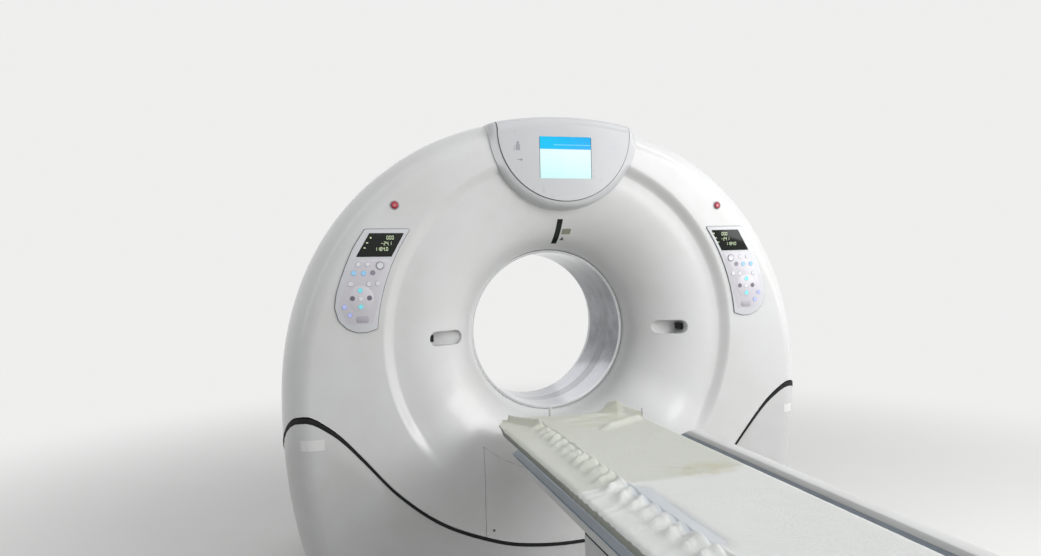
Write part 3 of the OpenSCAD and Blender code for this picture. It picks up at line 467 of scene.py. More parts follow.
def soften(piece, wanted, width, steps=3):
    """Bevels the edges that wanted() picks out."""
    mesh = bmesh.new()
    mesh.from_mesh(piece.data)
    for edge in mesh.edges:
        edge.select = wanted(edge)
    mesh.select_flush_mode()
    mesh.to_mesh(piece.data)
    mesh.free()
    pick(piece)
    bpy.ops.object.mode_set(mode="EDIT")
    bpy.ops.mesh.select_mode(type="EDGE")
    bpy.ops.mesh.bevel(offset=width, segments=steps, profile=0.5, clamp_overlap=True)
    bpy.ops.mesh.select_mode(type="VERT")
    bpy.ops.object.mode_set(mode="OBJECT")
    return piece


# %% [markdown]
# ## The form of the covers
# Seen from the front the gantry is a superellipse: rounder than a box, squarer than an oval. Its
# rim is rolled back, its bore opens in a bell mouth, and a shallow dish lies round the bell. The
# tilting part ends on a surface of revolution about the tilt axis, so that it can swing past the
# fixed base covers with an even seam. The same formulas drew the solids, only with fewer columns.

# %% Sizes of the covers, in metres
HALF_WIDTH = 1.190
WAIST = 0.785
UPPER = 1.205
LOWER = 1.600
BULGE = 2.15
FACE = 0.485
RIM_ACROSS = 0.120
RIM_DEEP = 0.200
WALL = 0.005
LIP_DEPTH = 0.200
LIP_RADIUS = 0.372
BELL_RADIUS = 0.700
STEP_START = 0.740
STEP_END = 0.790
STEP_DEPTH = 0.029
SEAM = 0.00015
SILL = np.array([[0, 1.016], [0.240, 0.998], [0.410, 0.953], [0.580, 0.883], [0.740, 0.778],
                 [0.870, 0.668], [0.960, 0.603], [1.040, 0.567], [1.110, 0.546],
                 [1.155, 0.518], [1.190, 0.500], [1.300, 0.500]])


# %% Curves of the covers
def signed_power(value, power):
    """A power that keeps the sign of its base."""
    return np.sign(value) * np.abs(value) ** power


def sill_radius(x):
    """Radius of the sill's surface about the tilt axis, at a distance from the middle."""
    x = np.minimum(np.abs(x), 1.2999)
    knots, heights = SILL[:, 0], SILL[:, 1]
    slopes = np.zeros(len(SILL))
    slopes[1:-2] = (heights[2:-1] - heights[:-3]) / (knots[2:-1] - knots[:-3])
    i = np.clip(np.searchsorted(knots, x, side="right") - 1, 0, len(SILL) - 2)
    span = knots[i + 1] - knots[i]
    t = (x - knots[i]) / span
    return (heights[i] * (1 + 2 * t) * (1 - t) ** 2 + span * slopes[i] * t * (1 - t) ** 2
            + heights[i + 1] * t * t * (3 - 2 * t) - span * slopes[i + 1] * t * t * (1 - t))


def silhouette(height, inset=0.0):
    """Half of the gantry's width at a height."""
    reach = np.where(height > WAIST, UPPER, LOWER)
    share = np.abs(height - WAIST) / reach
    return HALF_WIDTH * (1 - share ** BULGE) ** (1 / BULGE) - inset


# %% Lines round the covers
def corner_angle(depth, inset):
    """Where the silhouette, drawn in by inset, meets the sill at a depth."""
    x = HALF_WIDTH
    for _ in range(6):
        z = ISO - math.sqrt(sill_radius(x) ** 2 - depth ** 2)
        reach = (UPPER if z > WAIST else LOWER) - inset
        angle = math.acos(signed_power((z - WAIST) / reach, BULGE / 2))
        x = (HALF_WIDTH - inset) * math.sin(angle) ** (2 / BULGE)
    return angle, x


def rim_line(shares, depth, inset):
    """Points over the crown, from the left corner of the sill to the right one."""
    angle = corner_angle(depth, inset)[0] * shares
    x = (HALF_WIDTH - inset) * signed_power(np.sin(angle), 2 / BULGE)
    reach = np.where(np.cos(angle) > 0, UPPER, LOWER) - inset
    z = WAIST + reach * signed_power(np.cos(angle), 2 / BULGE)
    return np.stack([x, np.full_like(x, -depth), z], -1)


def sill_line(shares, depth, inset):
    """Points back along the sill, from the right corner to the left one."""
    x = corner_angle(depth, inset)[1] * shares
    z = ISO - np.sqrt(sill_radius(x) ** 2 - depth ** 2)
    return np.stack([x, np.full_like(x, -depth), z], -1)


def dish_depth(angle, step):
    """Depth of the dish in a direction: the step fades out towards the floor."""
    fade = np.clip((np.abs(np.degrees(angle)) - 115) / 21, 0, 1)
    return FACE - step * (1 - fade * fade * (3 - 2 * fade))


# %% [markdown]
# ## The tilting covers
# Each half is one moulding. It could be shaped from a bevelled block, but its highlights would then
# show the block. It is laid as two grids that share an edge: closed rings from the lip of the bore
# out to the edge of the flat face, and then rows over the crown alone that roll back along the rim
# to the seam in the middle plane. Solidify then gives the moulding its wall.

# %% Lay a tilting cover
CROWN_COLUMNS, SILL_COLUMNS = 224, 96
BELL_ROWS, STEP_ROWS, RIM_ROWS = 27, 13, 19


def tilting_cover(name, step):
    """One half of the tilting covers, drawn as the front one. Its dish is step deep."""
    over = np.linspace(-1, 1, CROWN_COLUMNS + 1)
    back = np.linspace(1, -1, SILL_COLUMNS + 1)[1:]
    edge = np.concatenate([rim_line(over, FACE, RIM_ACROSS), sill_line(back, FACE, RIM_ACROSS)])
    way = np.arctan2(edge[:, 0], edge[:, 2] - ISO)
    floor = dish_depth(way, step)
    rings = []
    for tau in np.linspace(0, math.pi / 2, BELL_ROWS):
        radius = np.full_like(way, BELL_RADIUS - (BELL_RADIUS - LIP_RADIUS) * math.cos(tau))
        rings.append((radius, LIP_DEPTH + (floor - LIP_DEPTH) * math.sin(tau)))
    for share in np.linspace(0, 1, STEP_ROWS):
        rise = share * share * (3 - 2 * share)
        radius = np.full_like(way, STEP_START + (STEP_END - STEP_START) * share)
        rings.append((radius, floor + (FACE - floor) * rise))
    rows = [np.stack([r * np.sin(way), -d, ISO + r * np.cos(way)], -1) for r, d in rings]
    start = rows[-1]
    for share in (0.3, 0.6):
        rows.append(start + (edge - start) * share)
    rows.append(edge)
    face = laid_grid(name + "_face", rows)
    quarter = np.linspace(0, math.pi / 2, RIM_ROWS)
    roll = [rim_line(over, FACE - RIM_DEEP + RIM_DEEP * math.cos(a),
                     RIM_ACROSS - RIM_ACROSS * math.sin(a)) for a in quarter]
    straight = FACE - RIM_DEEP - SEAM
    roll += [rim_line(over, SEAM + straight * s, 0.0) for s in (0.8, 0.6, 0.4, 0.2, 0)]
    rim = laid_grid(name + "_rim", roll)
    piece = weld(join(name, [face, rim]), 0.00005)
    edit(piece, (bpy.ops.mesh.normals_make_consistent, {"inside": False}))
    face_towards(piece, (0, -1, 0))
    return modify(piece, "SOLIDIFY", thickness=WALL, offset=-1, use_even_offset=True)


front_shell = tilting_cover("front_cover_moulding", STEP_DEPTH)
rear_shell = mirrored(tilting_cover("rear_cover_moulding", 0.0), (1, -1, 1))
print("front cover:", len(front_shell.data.polygons), "faces")

# %% [markdown]
# ## Openings in the front cover
# Two slots for the side lasers, a slit for the top one, holes for the emergency stops and the bay
# of the access panel go through the moulding. Two shallow grooves carry the panel's side joints on
# down to the sill. Cutting them with a Boolean leaves clean edges, and a shade angle keeps the
# curved skin round them smooth.

# %% Outlines of the openings
LASER_IN, LASER_OUT, LASER_HEIGHT, LASER_Z = 0.444, 0.596, 0.068, 0.003
SLIT_HALF, SLIT_LOW, SLIT_HIGH = 0.0088, 0.4017, 0.4963
ESTOP_X, ESTOP_Z, ESTOP_WIDTH = 0.728, 0.555, 0.028
ACCESS_HALF, ACCESS_RADIUS = 0.384, 0.595
ACCESS_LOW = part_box("access_panel")[0][2] + 0.0003 - ISO
GROOVE_HALF, GROOVE_DEEP, GROOVE_LOW, GROOVE_LAP = 0.0012, 0.0035, -0.95, 0.01


def stadium(side, steps=16):
    """The outline of a laser's slot, in x and height over the axis."""
    radius = LASER_HEIGHT / 2
    ends = [(LASER_IN + radius, 90), (LASER_OUT - radius, -90)]
    points = []
    for x, first in ends:
        for k in range(steps + 1):
            a = math.radians(first + 180 * k / steps)
            points.append((side * (x + radius * math.cos(a)), LASER_Z + radius * math.sin(a)))
    return points


def access_outline():
    """The bay of the access panel: an arc about the bore above, straight edges below."""
    across = np.linspace(-ACCESS_HALF, ACCESS_HALF, 49)
    arc = [(x, -math.sqrt(ACCESS_RADIUS ** 2 - x * x)) for x in across]
    return arc + [(ACCESS_HALF, ACCESS_LOW), (-ACCESS_HALF, ACCESS_LOW)]


def disc_outline(x, z, radius, steps=48):
    """The outline of a disc, in x and height over the axis."""
    turn = [2 * math.pi * k / steps for k in range(steps)]
    return [(x + radius * math.cos(a), z + radius * math.sin(a)) for a in turn]


# %% Cut the openings
def opening(outline, back):
    """A cutting tool that goes in from before the face to a depth."""
    return laid_plate("opening", outline, FACE + 0.02, back)


openings = [opening(stadium(side), 0.33) for side in (-1, 1)]
slit = [(-SLIT_HALF, SLIT_LOW), (SLIT_HALF, SLIT_LOW), (SLIT_HALF, SLIT_HIGH), (-SLIT_HALF, SLIT_HIGH)]
openings.append(opening(slit, 0.24))
openings.append(opening(access_outline(), 0.34))
for side in (-1, 1):
    middle, high = side * ACCESS_HALF, ACCESS_LOW + GROOVE_LAP
    groove = [(middle - GROOVE_HALF, GROOVE_LOW), (middle + GROOVE_HALF, GROOVE_LOW),
              (middle + GROOVE_HALF, high), (middle - GROOVE_HALF, high)]
    openings.append(opening(groove, FACE - GROOVE_DEEP))
for side in (-1, 1):
    openings.append(opening(disc_outline(side * ESTOP_X, ESTOP_Z, ESTOP_WIDTH / 2 + 0.001), 0.46))
cut(front_shell, *openings)

finished(front_shell, cover_white, "gantry", ["front_cover"])
finished(rear_shell, cover_white, "gantry", ["rear_cover"])
print("front cover after cutting:", len(front_shell.data.polygons), "faces")

# %% [markdown]
# ## Fixed base covers and their seal
# Below the sill two fixed covers stand on the floor. Their upper edge follows the same surface
# about the tilt axis, a finger's width lower, and a black rubber seal fills most of the gap. The
# seal could be a curve with a bevel, but it has to keep to the covers' plan at every height. So
# both are laid along one line of stations round the plan: side wall, rounded rim, face, rim, side
# wall.

# %% Stations round the base covers
SEAL_GAP, SEAL_WIDTH, SEAL_PROUD = 0.003, 0.010, 0.003
FLOOR_GAP = 0.006


def plan_line(heights, inset):
    """Plan positions round the front of the gantry, one for each station, at given heights."""
    points = []
    for (kind, side, share), z in zip(stations, heights):
        half = float(silhouette(z))
        if kind == "side":
            depth = SEAM + share * (FACE - RIM_DEEP - SEAM)
            points.append((side * (half - inset), -depth, z))
        elif kind == "rim":
            x = half - RIM_ACROSS + (RIM_ACROSS - inset) * math.cos(share)
            points.append((side * x, RIM_DEEP - FACE - (RIM_DEEP - inset) * math.sin(share), z))
        else:
            points.append((share * (half - RIM_ACROSS), inset - FACE, z))
    return points


def sill_heights(offset, inset):
    """The height at which each station meets the sill's surface grown by offset."""
    heights = [0.5] * len(stations)
    for _ in range(10):
        line = plan_line(heights, inset)
        heights = [ISO - math.sqrt((float(sill_radius(x)) + offset) ** 2 - y * y) for x, y, _ in line]
    return heights


turns = [math.radians(a) for a in (11.25, 22.5, 33.75, 45, 56.25, 67.5, 78.75)]
stations = [("side", -1, s) for s in np.linspace(0, 1, 7)]
stations += [("rim", -1, a) for a in turns]
stations += [("face", 0, s) for s in np.linspace(-1, 1, 91)]
stations += [("rim", 1, a) for a in reversed(turns)]
stations += [("side", 1, s) for s in np.linspace(1, 0, 7)]

print("stations round a base cover:", len(stations))

# %% Lay the base covers
tops = sill_heights(SEAL_GAP + SEAL_WIDTH + 0.0009, 0)
rows = []
for share in (0, 0.004, 0.15, 0.3, 0.45, 0.6, 0.75, 0.9, 1):
    heights = [top + (FLOOR_GAP - top) * share for top in tops]
    rows.append(plan_line(heights, 0.0008 if share == 0 else 0))
base_shell = laid_grid("front_base_moulding", rows)
face_towards(base_shell, (0, -1, 0))
modify(base_shell, "SOLIDIFY", thickness=WALL, offset=-1, use_even_offset=True)
outward(base_shell)
rear_base = copied(base_shell)
rear_base.name = rear_base.data.name = "rear_base_moulding"
mirrored(rear_base, (1, -1, 1))
finished(base_shell, shaded_base_white, "base", ["front_base_cover"])
finished(rear_base, shaded_base_white, "base", ["rear_base_cover"])

# %% Press on the seal
seal_half = [(0.0, 0.004), (0.0, -0.0006), (0.0016, -0.0024)]
seal_profile = seal_half + [(SEAL_WIDTH / 2, -SEAL_PROUD)]
seal_profile += [(SEAL_WIDTH - off, inset) for off, inset in reversed(seal_half)]
seal_rows = [plan_line(sill_heights(SEAL_GAP + off, inset), inset) for off, inset in seal_profile]
seal = laid_grid("front_seal", seal_rows)
face_towards(seal, (0, -1, 0))
modify(seal, "SOLIDIFY", thickness=0.0012, offset=-1)
outward(seal)
seal = join("running_seal", [seal, mirrored(copied(seal), (1, -1, 1))])
finished(seal, black_rubber, "base", ["cover_seals"], degrees=60)

# %% [markdown]
# ## The crown pod
# Over the top of the dish sits a pod that carries the patient's screen. It is one moulding whose
# edge swells out of the face and rolls over the crown, with a flush plate let into it. A grid is
# laid on the same height field that drew the solid, four times finer, so that the highlight runs
# round its rim without a kink.

# %% Depth of the cover under the pod
CROWN_Z, PLATE_RADIUS, POD_RIM, POD_TOP, POD_PROUD = 0.870, 0.298, 0.036, 0.050, 0.006
POD_RADIUS = PLATE_RADIUS + POD_RIM


def rim_inset(x, z):
    """How far a point lies inside the silhouette, by halving the interval."""
    low, high = -0.02, 0.30
    for _ in range(18):
        middle = (low + high) / 2
        share = (abs(x) / (HALF_WIDTH - middle)) ** BULGE
        share += (max(z - WAIST, 0) / (UPPER - middle)) ** BULGE
        low, high = (middle, high) if share < 1 else (low, middle)
    return (low + high) / 2


def cover_depth(x, z):
    """Depth of the front cover's outside above the bore."""
    radius, inset = math.hypot(x, z), rim_inset(x, z + ISO)
    if radius < BELL_RADIUS:
        lean = math.acos((BELL_RADIUS - radius) / (BELL_RADIUS - LIP_RADIUS))
        return LIP_DEPTH + (FACE - STEP_DEPTH - LIP_DEPTH) * math.sin(lean)
    if radius < STEP_END:
        share = min(max((radius - STEP_START) / (STEP_END - STEP_START), 0), 1)
        return FACE - STEP_DEPTH + STEP_DEPTH * share * share * (3 - 2 * share)
    if inset > RIM_ACROSS:
        return FACE
    lean = math.asin(min(1, 1 - inset / RIM_ACROSS))
    return FACE - RIM_DEEP + RIM_DEEP * math.cos(lean)


# %% Curves of the pod
def pod_high(x):
    """Height of the pod's top edge, just inside the silhouette."""
    share = 1 - (abs(x) / (HALF_WIDTH - 0.012)) ** BULGE
    return WAIST - ISO + (UPPER - 0.012) * share ** (1 / BULGE)


def pod_front(x, z):
    """Depth of the pod's outside: it swells out of the cover and rolls over the crown."""
    edge = POD_RADIUS - (math.hypot(x, z - CROWN_Z) if z < CROWN_Z else abs(x))
    side = 1.0
    if edge < POD_RIM:
        side = math.sqrt(max(0, 1 - ((POD_RIM - max(edge, 0)) / POD_RIM) ** 2))
    top = max(0, POD_TOP - (pod_high(x) - z)) / POD_TOP
    full = FACE + POD_PROUD - POD_TOP * (1 - math.sqrt(max(0, 1 - top * top)))
    under = cover_depth(x, z) + 0.0056
    return under + (full - under) * side


def sunk(point):
    """The foot of the pod's edge, just off the cover that it lies on."""
    x, y, z = point
    return x, min(y + 0.0052, -cover_depth(x, z - ISO) - 0.0002), z


def lens_rows(radius, lift, rows=65, columns=109):
    """Rows over the pod's front, from its top edge down to a circle of a given radius."""
    laid = []
    for k in range(rows):
        share = 0.5 - 0.5 * math.cos(math.pi * k / (rows - 1))
        row = []
        for column in range(columns):
            x = radius * math.sin(math.radians(180 * column / (columns - 1) - 90))
            low = CROWN_Z - math.sqrt(max(0, radius ** 2 - x * x))
            z = pod_high(x) + (low - pod_high(x)) * share
            row.append((x, -pod_front(x, z) - lift, ISO + z))
        laid.append(row)
    return laid


# %% Lay the pod
pod_rows = [[sunk(row[0])] + row + [sunk(row[-1])] for row in lens_rows(POD_RADIUS, 0)]
pod = laid_grid("crown_pod", [[sunk(p) for p in pod_rows[0]]] + pod_rows
                + [[sunk(p) for p in pod_rows[-1]]])
face_towards(pod, (0, -1, 0))
finished(pod, shaded_crown_white, "gantry", ["crown_housing"], degrees=60)
print("crown pod:", len(pod.data.polygons), "faces")

# %% [markdown]
# ## The crown's plate and screen
# The plate follows the pod's own surface: a round edge below, and above it runs on over the top
# of the gantry. A thin dark strip along its round edge is painted shade, for the shadow in the gap
# round the plate. The screen is a lit picture behind glass: a blue band over a pale field. It is made
# of steps in the material, since a picture file isn't at hand to a script that stands alone.

# %% Cut the plate
SCREEN_Z, SCREEN_WIDTH, SCREEN_HEIGHT = 0.757, 0.234, 0.177
PLATE_FACE = FACE + POD_PROUD


def rectangle(x, z, width, height, radius=0.0, steps=5):
    """A rectangle in the face, with rounded corners."""
    if not radius:
        return [(x - width / 2, z - height / 2), (x + width / 2, z - height / 2),
                (x + width / 2, z + height / 2), (x - width / 2, z + height / 2)]
    points = []
    for sx, sz, first in ((1, 1, 0), (-1, 1, 90), (-1, -1, 180), (1, -1, 270)):
        for k in range(steps + 1):
            a = math.radians(first + 90 * k / steps)
            points.append((x + sx * (width / 2 - radius) + radius * math.cos(a),
                           z + sz * (height / 2 - radius) + radius * math.sin(a)))
    return points


def lens_plate(name, radius, lift, thickness):
    """A thin plate that follows the pod's front at a distance."""
    plate = laid_grid(name, lens_rows(radius, lift))
    face_towards(plate, (0, -1, 0))
    modify(plate, "SOLIDIFY", thickness=thickness, offset=-1)
    return outward(plate)


plate = lens_plate("crown_plate", PLATE_RADIUS - 0.0015, 0.004, 0.0034)
window = rectangle(0, SCREEN_Z, SCREEN_WIDTH + 0.0006, SCREEN_HEIGHT + 0.0006, 0.004)
cut(plate, laid_plate("window", window, PLATE_FACE + 0.01, PLATE_FACE - 0.01))
finished(plate, shaded_crown_white, "gantry", ["crown_bezel"])
# A dark strip round the plate: painted shade for the shadow in the gap round it.
crown_shade_strip = lens_plate("crown_shade_line", PLATE_RADIUS + 0.0016, 0.0015, 0.0012)
finished(crown_shade_strip, shade_line_grey, "gantry")
pane = rectangle(0, SCREEN_Z, SCREEN_WIDTH, SCREEN_HEIGHT, 0.004)
glass = laid_plate("crown_screen_glass", pane, PLATE_FACE + 0.0034, PLATE_FACE + 0.0003, 0.0006, 2)

# %% Light the screen
screen_finish = Finish("screen_finish", (0.006, 0.010, 0.014), specular_ior_level=0.15,
                       emission_strength=1.0)
x, z = screen_finish.axis(0), screen_finish.axis(2)
up_screen = (z - (ISO + SCREEN_Z - SCREEN_HEIGHT / 2)) / SCREEN_HEIGHT
across_screen = (x + SCREEN_WIDTH / 2) / SCREEN_WIDTH
sweep = across_screen.above(0.5, 0.5)
band = screen_finish.blend(sweep, (0.004, 0.56, 0.93), (0.0, 0.44, 0.91))
bar = up_screen.above(0.795, 0.004) * (1 - up_screen.above(0.815, 0.004))
bar = bar * across_screen.above(0.27, 0.01)
band = screen_finish.blend(bar * 0.6, band, (0.30, 0.86, 0.98))
page = screen_finish.blend(up_screen * 1.2, (0.66, 0.97, 0.97), (0.84, 0.985, 0.985))
ruled = (up_screen * 60).sine().above(0.93, 0.05) * (
    across_screen.above(0.06, 0.01) * (1 - across_screen.above(0.42, 0.02)))
page = screen_finish.blend(ruled * 0.12, page, (0.45, 0.8, 0.85))
lit = screen_finish.blend(up_screen.above(0.70, 0.004), page, band)
border = ((across_screen - 0.5) * (across_screen - 0.5)).above(0.2415, 0.001)
screen_finish.set("Emission Color", screen_finish.blend(border, lit, (0.03, 0.05, 0.07)))
screen_finish.set("Roughness", screen_finish.cloud(0.04, 3) * 0.1 + 0.22)
finished(glass, screen_finish, "gantry", ["crown_screen"])

# %% [markdown]
# ## Small marks on the crown
# Two faint signs are printed beside the screen: a standing figure on the left, with a short arrow
# under it, and a ring of dots on the right. They are generic pictograms. A mask in the material
# could print them, but at this size it would blur when the finish is baked, so they are cut as
# plates that are as thin as a film of ink.

# %% Print the marks
def print_colour(name, colour):
    """Printing ink or a printed field: flat colour, a little uneven in its gloss."""
    made = Finish(name, colour)
    made.set("Roughness", made.cloud(0.004, 2) * 0.2 + 0.35)
    return made


print_grey = print_colour("print_grey", (0.36, 0.36, 0.40))
print_pale = print_colour("print_pale", (0.55, 0.60, 0.62))
PRINT = 0.00015
CROWN_FACE = PLATE_FACE + 0.004


def crown_mark(outline):
    """A mark as thick as ink on the crown's plate."""
    return laid_plate("mark", outline, CROWN_FACE + PRINT, CROWN_FACE)


marks = []
for outline in (
        rectangle(-0.212, 0.797, 0.019, 0.026, 0.003),
        disc_outline(-0.212, 0.816, 0.0066, 24),
        rectangle(-0.228, 0.792, 0.003, 0.020, 0.001),
        rectangle(-0.205, 0.745, 0.020, 0.004, 0.001),
        [(-0.192, 0.745), (-0.199, 0.751), (-0.199, 0.739)]):
    marks.append(crown_mark(outline))
finished(join("crown_marks", marks), print_grey, "gantry")
DOTS_X, DOTS_Z, DOTS_RADIUS = 0.216, 0.802, 0.013
dots = []
for k in range(8):
    a = math.radians(45 * k)
    x, z = DOTS_X + DOTS_RADIUS * math.cos(a), DOTS_Z + DOTS_RADIUS * math.sin(a)
    dots.append(crown_mark(disc_outline(x, z, 0.0030, 12)))
dots.append(crown_mark(disc_outline(DOTS_X, DOTS_Z, 0.0055, 20)))
finished(join("crown_ring_of_dots", dots), print_pale, "gantry")
print("marks on the crown:", len(marks) + len(dots))

# %% [markdown]
# ## The control panels
# Each side of the gantry carries the same panel, mirrored: a long leaf with a slanted display at
# its head, a raised keypad below, and all round a dark line that is painted shade for the shadow in
# the joint. The outline is a polygon with rounded corners, so one helper turns a list of corners and
# radii into points.

# %% Helpers for outlines
def rounded(corners, steps=10):
    """The closed outline of a polygon whose corners are rounded."""
    points = []
    for i, (x, z, radius) in enumerate(corners):
        if not radius:
            points.append((x, z))
            continue
        here = Vector((x, z))
        u = (Vector(corners[i - 1][:2]) - here).normalized()
        v = (Vector(corners[(i + 1) % len(corners)][:2]) - here).normalized()
        half = math.acos(max(-1, min(1, u.dot(v)))) / 2
        middle = here + (u + v).normalized() * (radius / math.sin(half))
        reach = radius / math.tan(half)
        start, end = here + u * reach - middle, here + v * reach - middle
        turn = math.pi - 2 * half
        side = 1 if start.x * end.y - start.y * end.x > 0 else -1
        for k in range(steps + 1):
            g = side * turn * k / steps
            points.append((middle.x + start.x * math.cos(g) - start.y * math.sin(g),
                           middle.y + start.x * math.sin(g) + start.y * math.cos(g)))
    return points


def in_metres(corners):
    """Corners and radii that are written in millimetres, to be read more easily."""
    return [tuple(value / 1000 for value in corner) for corner in corners]


def grown(outline, by):
    """An outline moved outwards by a distance, along the normals of its points."""
    points = [Vector(p) for p in outline]
    area = sum(a.x * b.y - b.x * a.y for a, b in zip(points, points[1:] + points[:1]))
    side = 1 if area > 0 else -1
    moved = []
    for i, here in enumerate(points):
        along = points[(i + 1) % len(points)] - points[i - 1]
        normal = Vector((along.y, -along.x)).normalized() * side
        moved.append(tuple(here + normal * by))
    return moved


def on_side(outline, side):
    """An outline of the right side, or its mirror image on the left."""
    return [(side * x, z) for x, z in outline]


# %% Draw the panel, the display and the pad
PANEL_ARC = 0.811
sweep = [math.radians(4.4 + 3 * k) for k in range(11)]
PANEL = [(PANEL_ARC * math.cos(a), PANEL_ARC * math.sin(a), 0.005 if k in (0, 10) else 0)
         for k, a in enumerate(sweep)]
PANEL += in_metres([[848, 459, 10], [893, 390, 200], [922, 325, 300], [946, 262, 300],
                    [964, 205, 160], [971, 150, 50], [957, 98, 50], [925, 66, 50], [888, 50, 60],
                    [848, 50, 60]])
DISPLAY = in_metres([[695, 442, 2], [831, 443, 2], [885, 350, 2], [746, 349, 2]])
PAD = in_metres([[752, 338, 8], [880, 338, 8], [922, 255, 60], [955, 160, 26], [925, 82, 30],
                 [824, 82, 10]])
ENABLE_X, ENABLE_Z, ENABLE_WIDTH = 0.792, 0.314, 0.026
PANEL_FRONT = FACE + 0.005

# %% Build the panel plates
display_glass = Finish("display_glass", (0.008, 0.012, 0.009), specular_ior_level=0.28)
display_glass.set("Roughness", display_glass.cloud(0.02, 3) * 0.1 + 0.12)
display_plates = []
for side, word in SIDES:
    leaf = laid_plate(word + "_panel_leaf", on_side(rounded(PANEL), side), PANEL_FRONT,
                      FACE + 0.0003, 0.0014)
    socket = on_side(grown(rounded(DISPLAY, 4), 0.0006), side)
    cut(leaf, laid_plate("socket", socket, PANEL_FRONT + 0.01, FACE + 0.0008))
    hole = disc_outline(side * ENABLE_X, ENABLE_Z, ENABLE_WIDTH / 2 + 0.0008)
    cut(leaf, laid_plate("socket", hole, PANEL_FRONT + 0.01, FACE - 0.01))
    finished(leaf, panel_white, "gantry", [word + "_control_panel"])
    # A dark strip all round the leaf: painted shade for the shadow in its joint.
    line = laid_plate(word + "_panel_gasket", on_side(grown(rounded(PANEL), 0.0021), side),
                      FACE + 0.0022, FACE + 0.0001)
    finished(line, shade_line_grey, "gantry")
    display = on_side(rounded(DISPLAY, 4), side)
    display_plates.append(laid_plate("display", display, PANEL_FRONT - 0.0006, FACE + 0.001, 0.0004, 2))
finished(join("display_plates", display_plates), display_glass, "gantry",
         ["control_displays"])

# %% [markdown]
# ## Digits on the displays
# The displays show three rows of plain numbers in pale green. Each digit is the familiar figure of
# seven bars, and a point is a small disc. A Text object could write them, but no font that comes
# with Blender has these bars. So the lying bar, the standing bar and the point are modelled once,
# as flat plates, and copied to where they are lit.

# %% Make the bars of the digits
digit_light = Finish("digit_light", (0.1, 0.12, 0.08), 0.4, emission_strength=1.0)
glow = digit_light.cloud(0.004, 2)
digit_light.set("Emission Color", digit_light.blend(glow, (0.52, 0.66, 0.38), (0.78, 0.88, 0.60)))
BARS = {"0": "abcdef", "1": "bc", "2": "abged", "3": "abgcd", "4": "fgbc", "5": "afgcd",
        "6": "afgedc", "7": "abc", "8": "abcdefg", "9": "abcdfg", "-": "g"}
PLACES = {"a": (0.5, 1, 0), "b": (1, 0.75, 1), "c": (1, 0.25, 1), "d": (0.5, 0, 0),
          "e": (0, 0.25, 1), "f": (0, 0.75, 1), "g": (0.5, 0.5, 0)}
DIGIT_WIDE, DIGIT_HIGH, BAR, DIGIT_GAP = 0.0062, 0.0135, 0.0019, 0.0042
POINT_RADIUS, POINT_BACK, POINT_STEP = 0.0012, 0.0005, 0.0022
DISPLAY_FACE, LIGHT_RISE = PANEL_FRONT - 0.0006, 0.0002


def lit_plate(outline):
    """A lit shape, laid on the display's glass."""
    return laid_plate("bar", outline, DISPLAY_FACE + LIGHT_RISE, DISPLAY_FACE)


def bar_outline(standing):
    """A bar about the bore's axis, with pointed ends."""
    long, wide = (DIGIT_HIGH / 2 if standing else DIGIT_WIDE) * 0.46, BAR / 2
    shape = [(-long, 0), (-long + wide, -wide), (long - wide, -wide), (long, 0),
             (long - wide, wide), (-long + wide, wide)]
    return [(b, a) if standing else (a, b) for a, b in shape]


bars = [lit_plate(bar_outline(False)), lit_plate(bar_outline(True))]
point = lit_plate(disc_outline(0, 0, POINT_RADIUS, 8))


# %% Write the digits
def written(text, x, z):
    """The lit bars of a number that ends at x, with its foot at height z."""
    made = []
    for letter in reversed(text):
        if letter == ".":
            made.append(copied(point, (x - POINT_BACK, 0, z)))
            x -= POINT_STEP
            continue
        for key in BARS[letter]:
            across, up, standing = PLACES[key]
            spot = (x - DIGIT_WIDE * (1 - across), 0, z + DIGIT_HIGH * up)
            made.append(copied(bars[standing], spot))
        x -= DIGIT_WIDE + DIGIT_GAP
    return made


lit_bars = []
ROWS = [("000", 0.4180), ("-24.1", 0.3955), ("1184.0", 0.3730)]
ENDS = {-1: (-0.736, -0.746, -0.760), 1: (0.775, 0.785, 0.820)}
SIGNS = {-1: ((-0.826, 0.425), (-0.839, 0.405), (-0.849, 0.385)),
         1: ((0.708, 0.427), (0.720, 0.406), (0.731, 0.387))}
for side in (-1, 1):
    for (text, z), x in zip(ROWS, ENDS[side]):
        lit_bars += written(text, x, z)
    for k, (x, z) in enumerate(SIGNS[side]):
        arrow = [(x - 0.005, z - 0.003), (x + 0.005, z), (x - 0.005, z + 0.003)]
        lit_bars.append(lit_plate(arrow if k else disc_outline(x, z, 0.0034, 12)))
for pattern in (*bars, point):
    bpy.data.objects.remove(pattern)
print("lit shapes on the displays:", len(lit_bars))
finished(join("display_digits", lit_bars), digit_light, "gantry")

# %% [markdown]
# ## Keys
# A key is a shallow cap with a rounded shoulder and a dished top, set in a dark collar. Both are
# made once, the cap as a cylinder whose rim is bevelled and whose top is inset and pressed in, and
# copied to each place. Keys of one colour are joined, because they share a finish.

# %% Mix the key plastics
def key_plastic(name, colour, glow=0.0):
    """Soft-touch key plastic, a little lit from behind where glow is above zero."""
    made = Finish(name, colour, coat_weight=0.2)
    made.set("Roughness", made.cloud(0.003, 2) * 0.16 + 0.3)
    if glow:
        dim = tuple(c * 0.7 for c in colour)
        made.set("Emission Strength", glow)
        made.set("Emission Color", made.blend(made.cloud(0.008, 2), colour, dim))
    return made.bump(made.cloud(0.0007, 2), 0.00006)


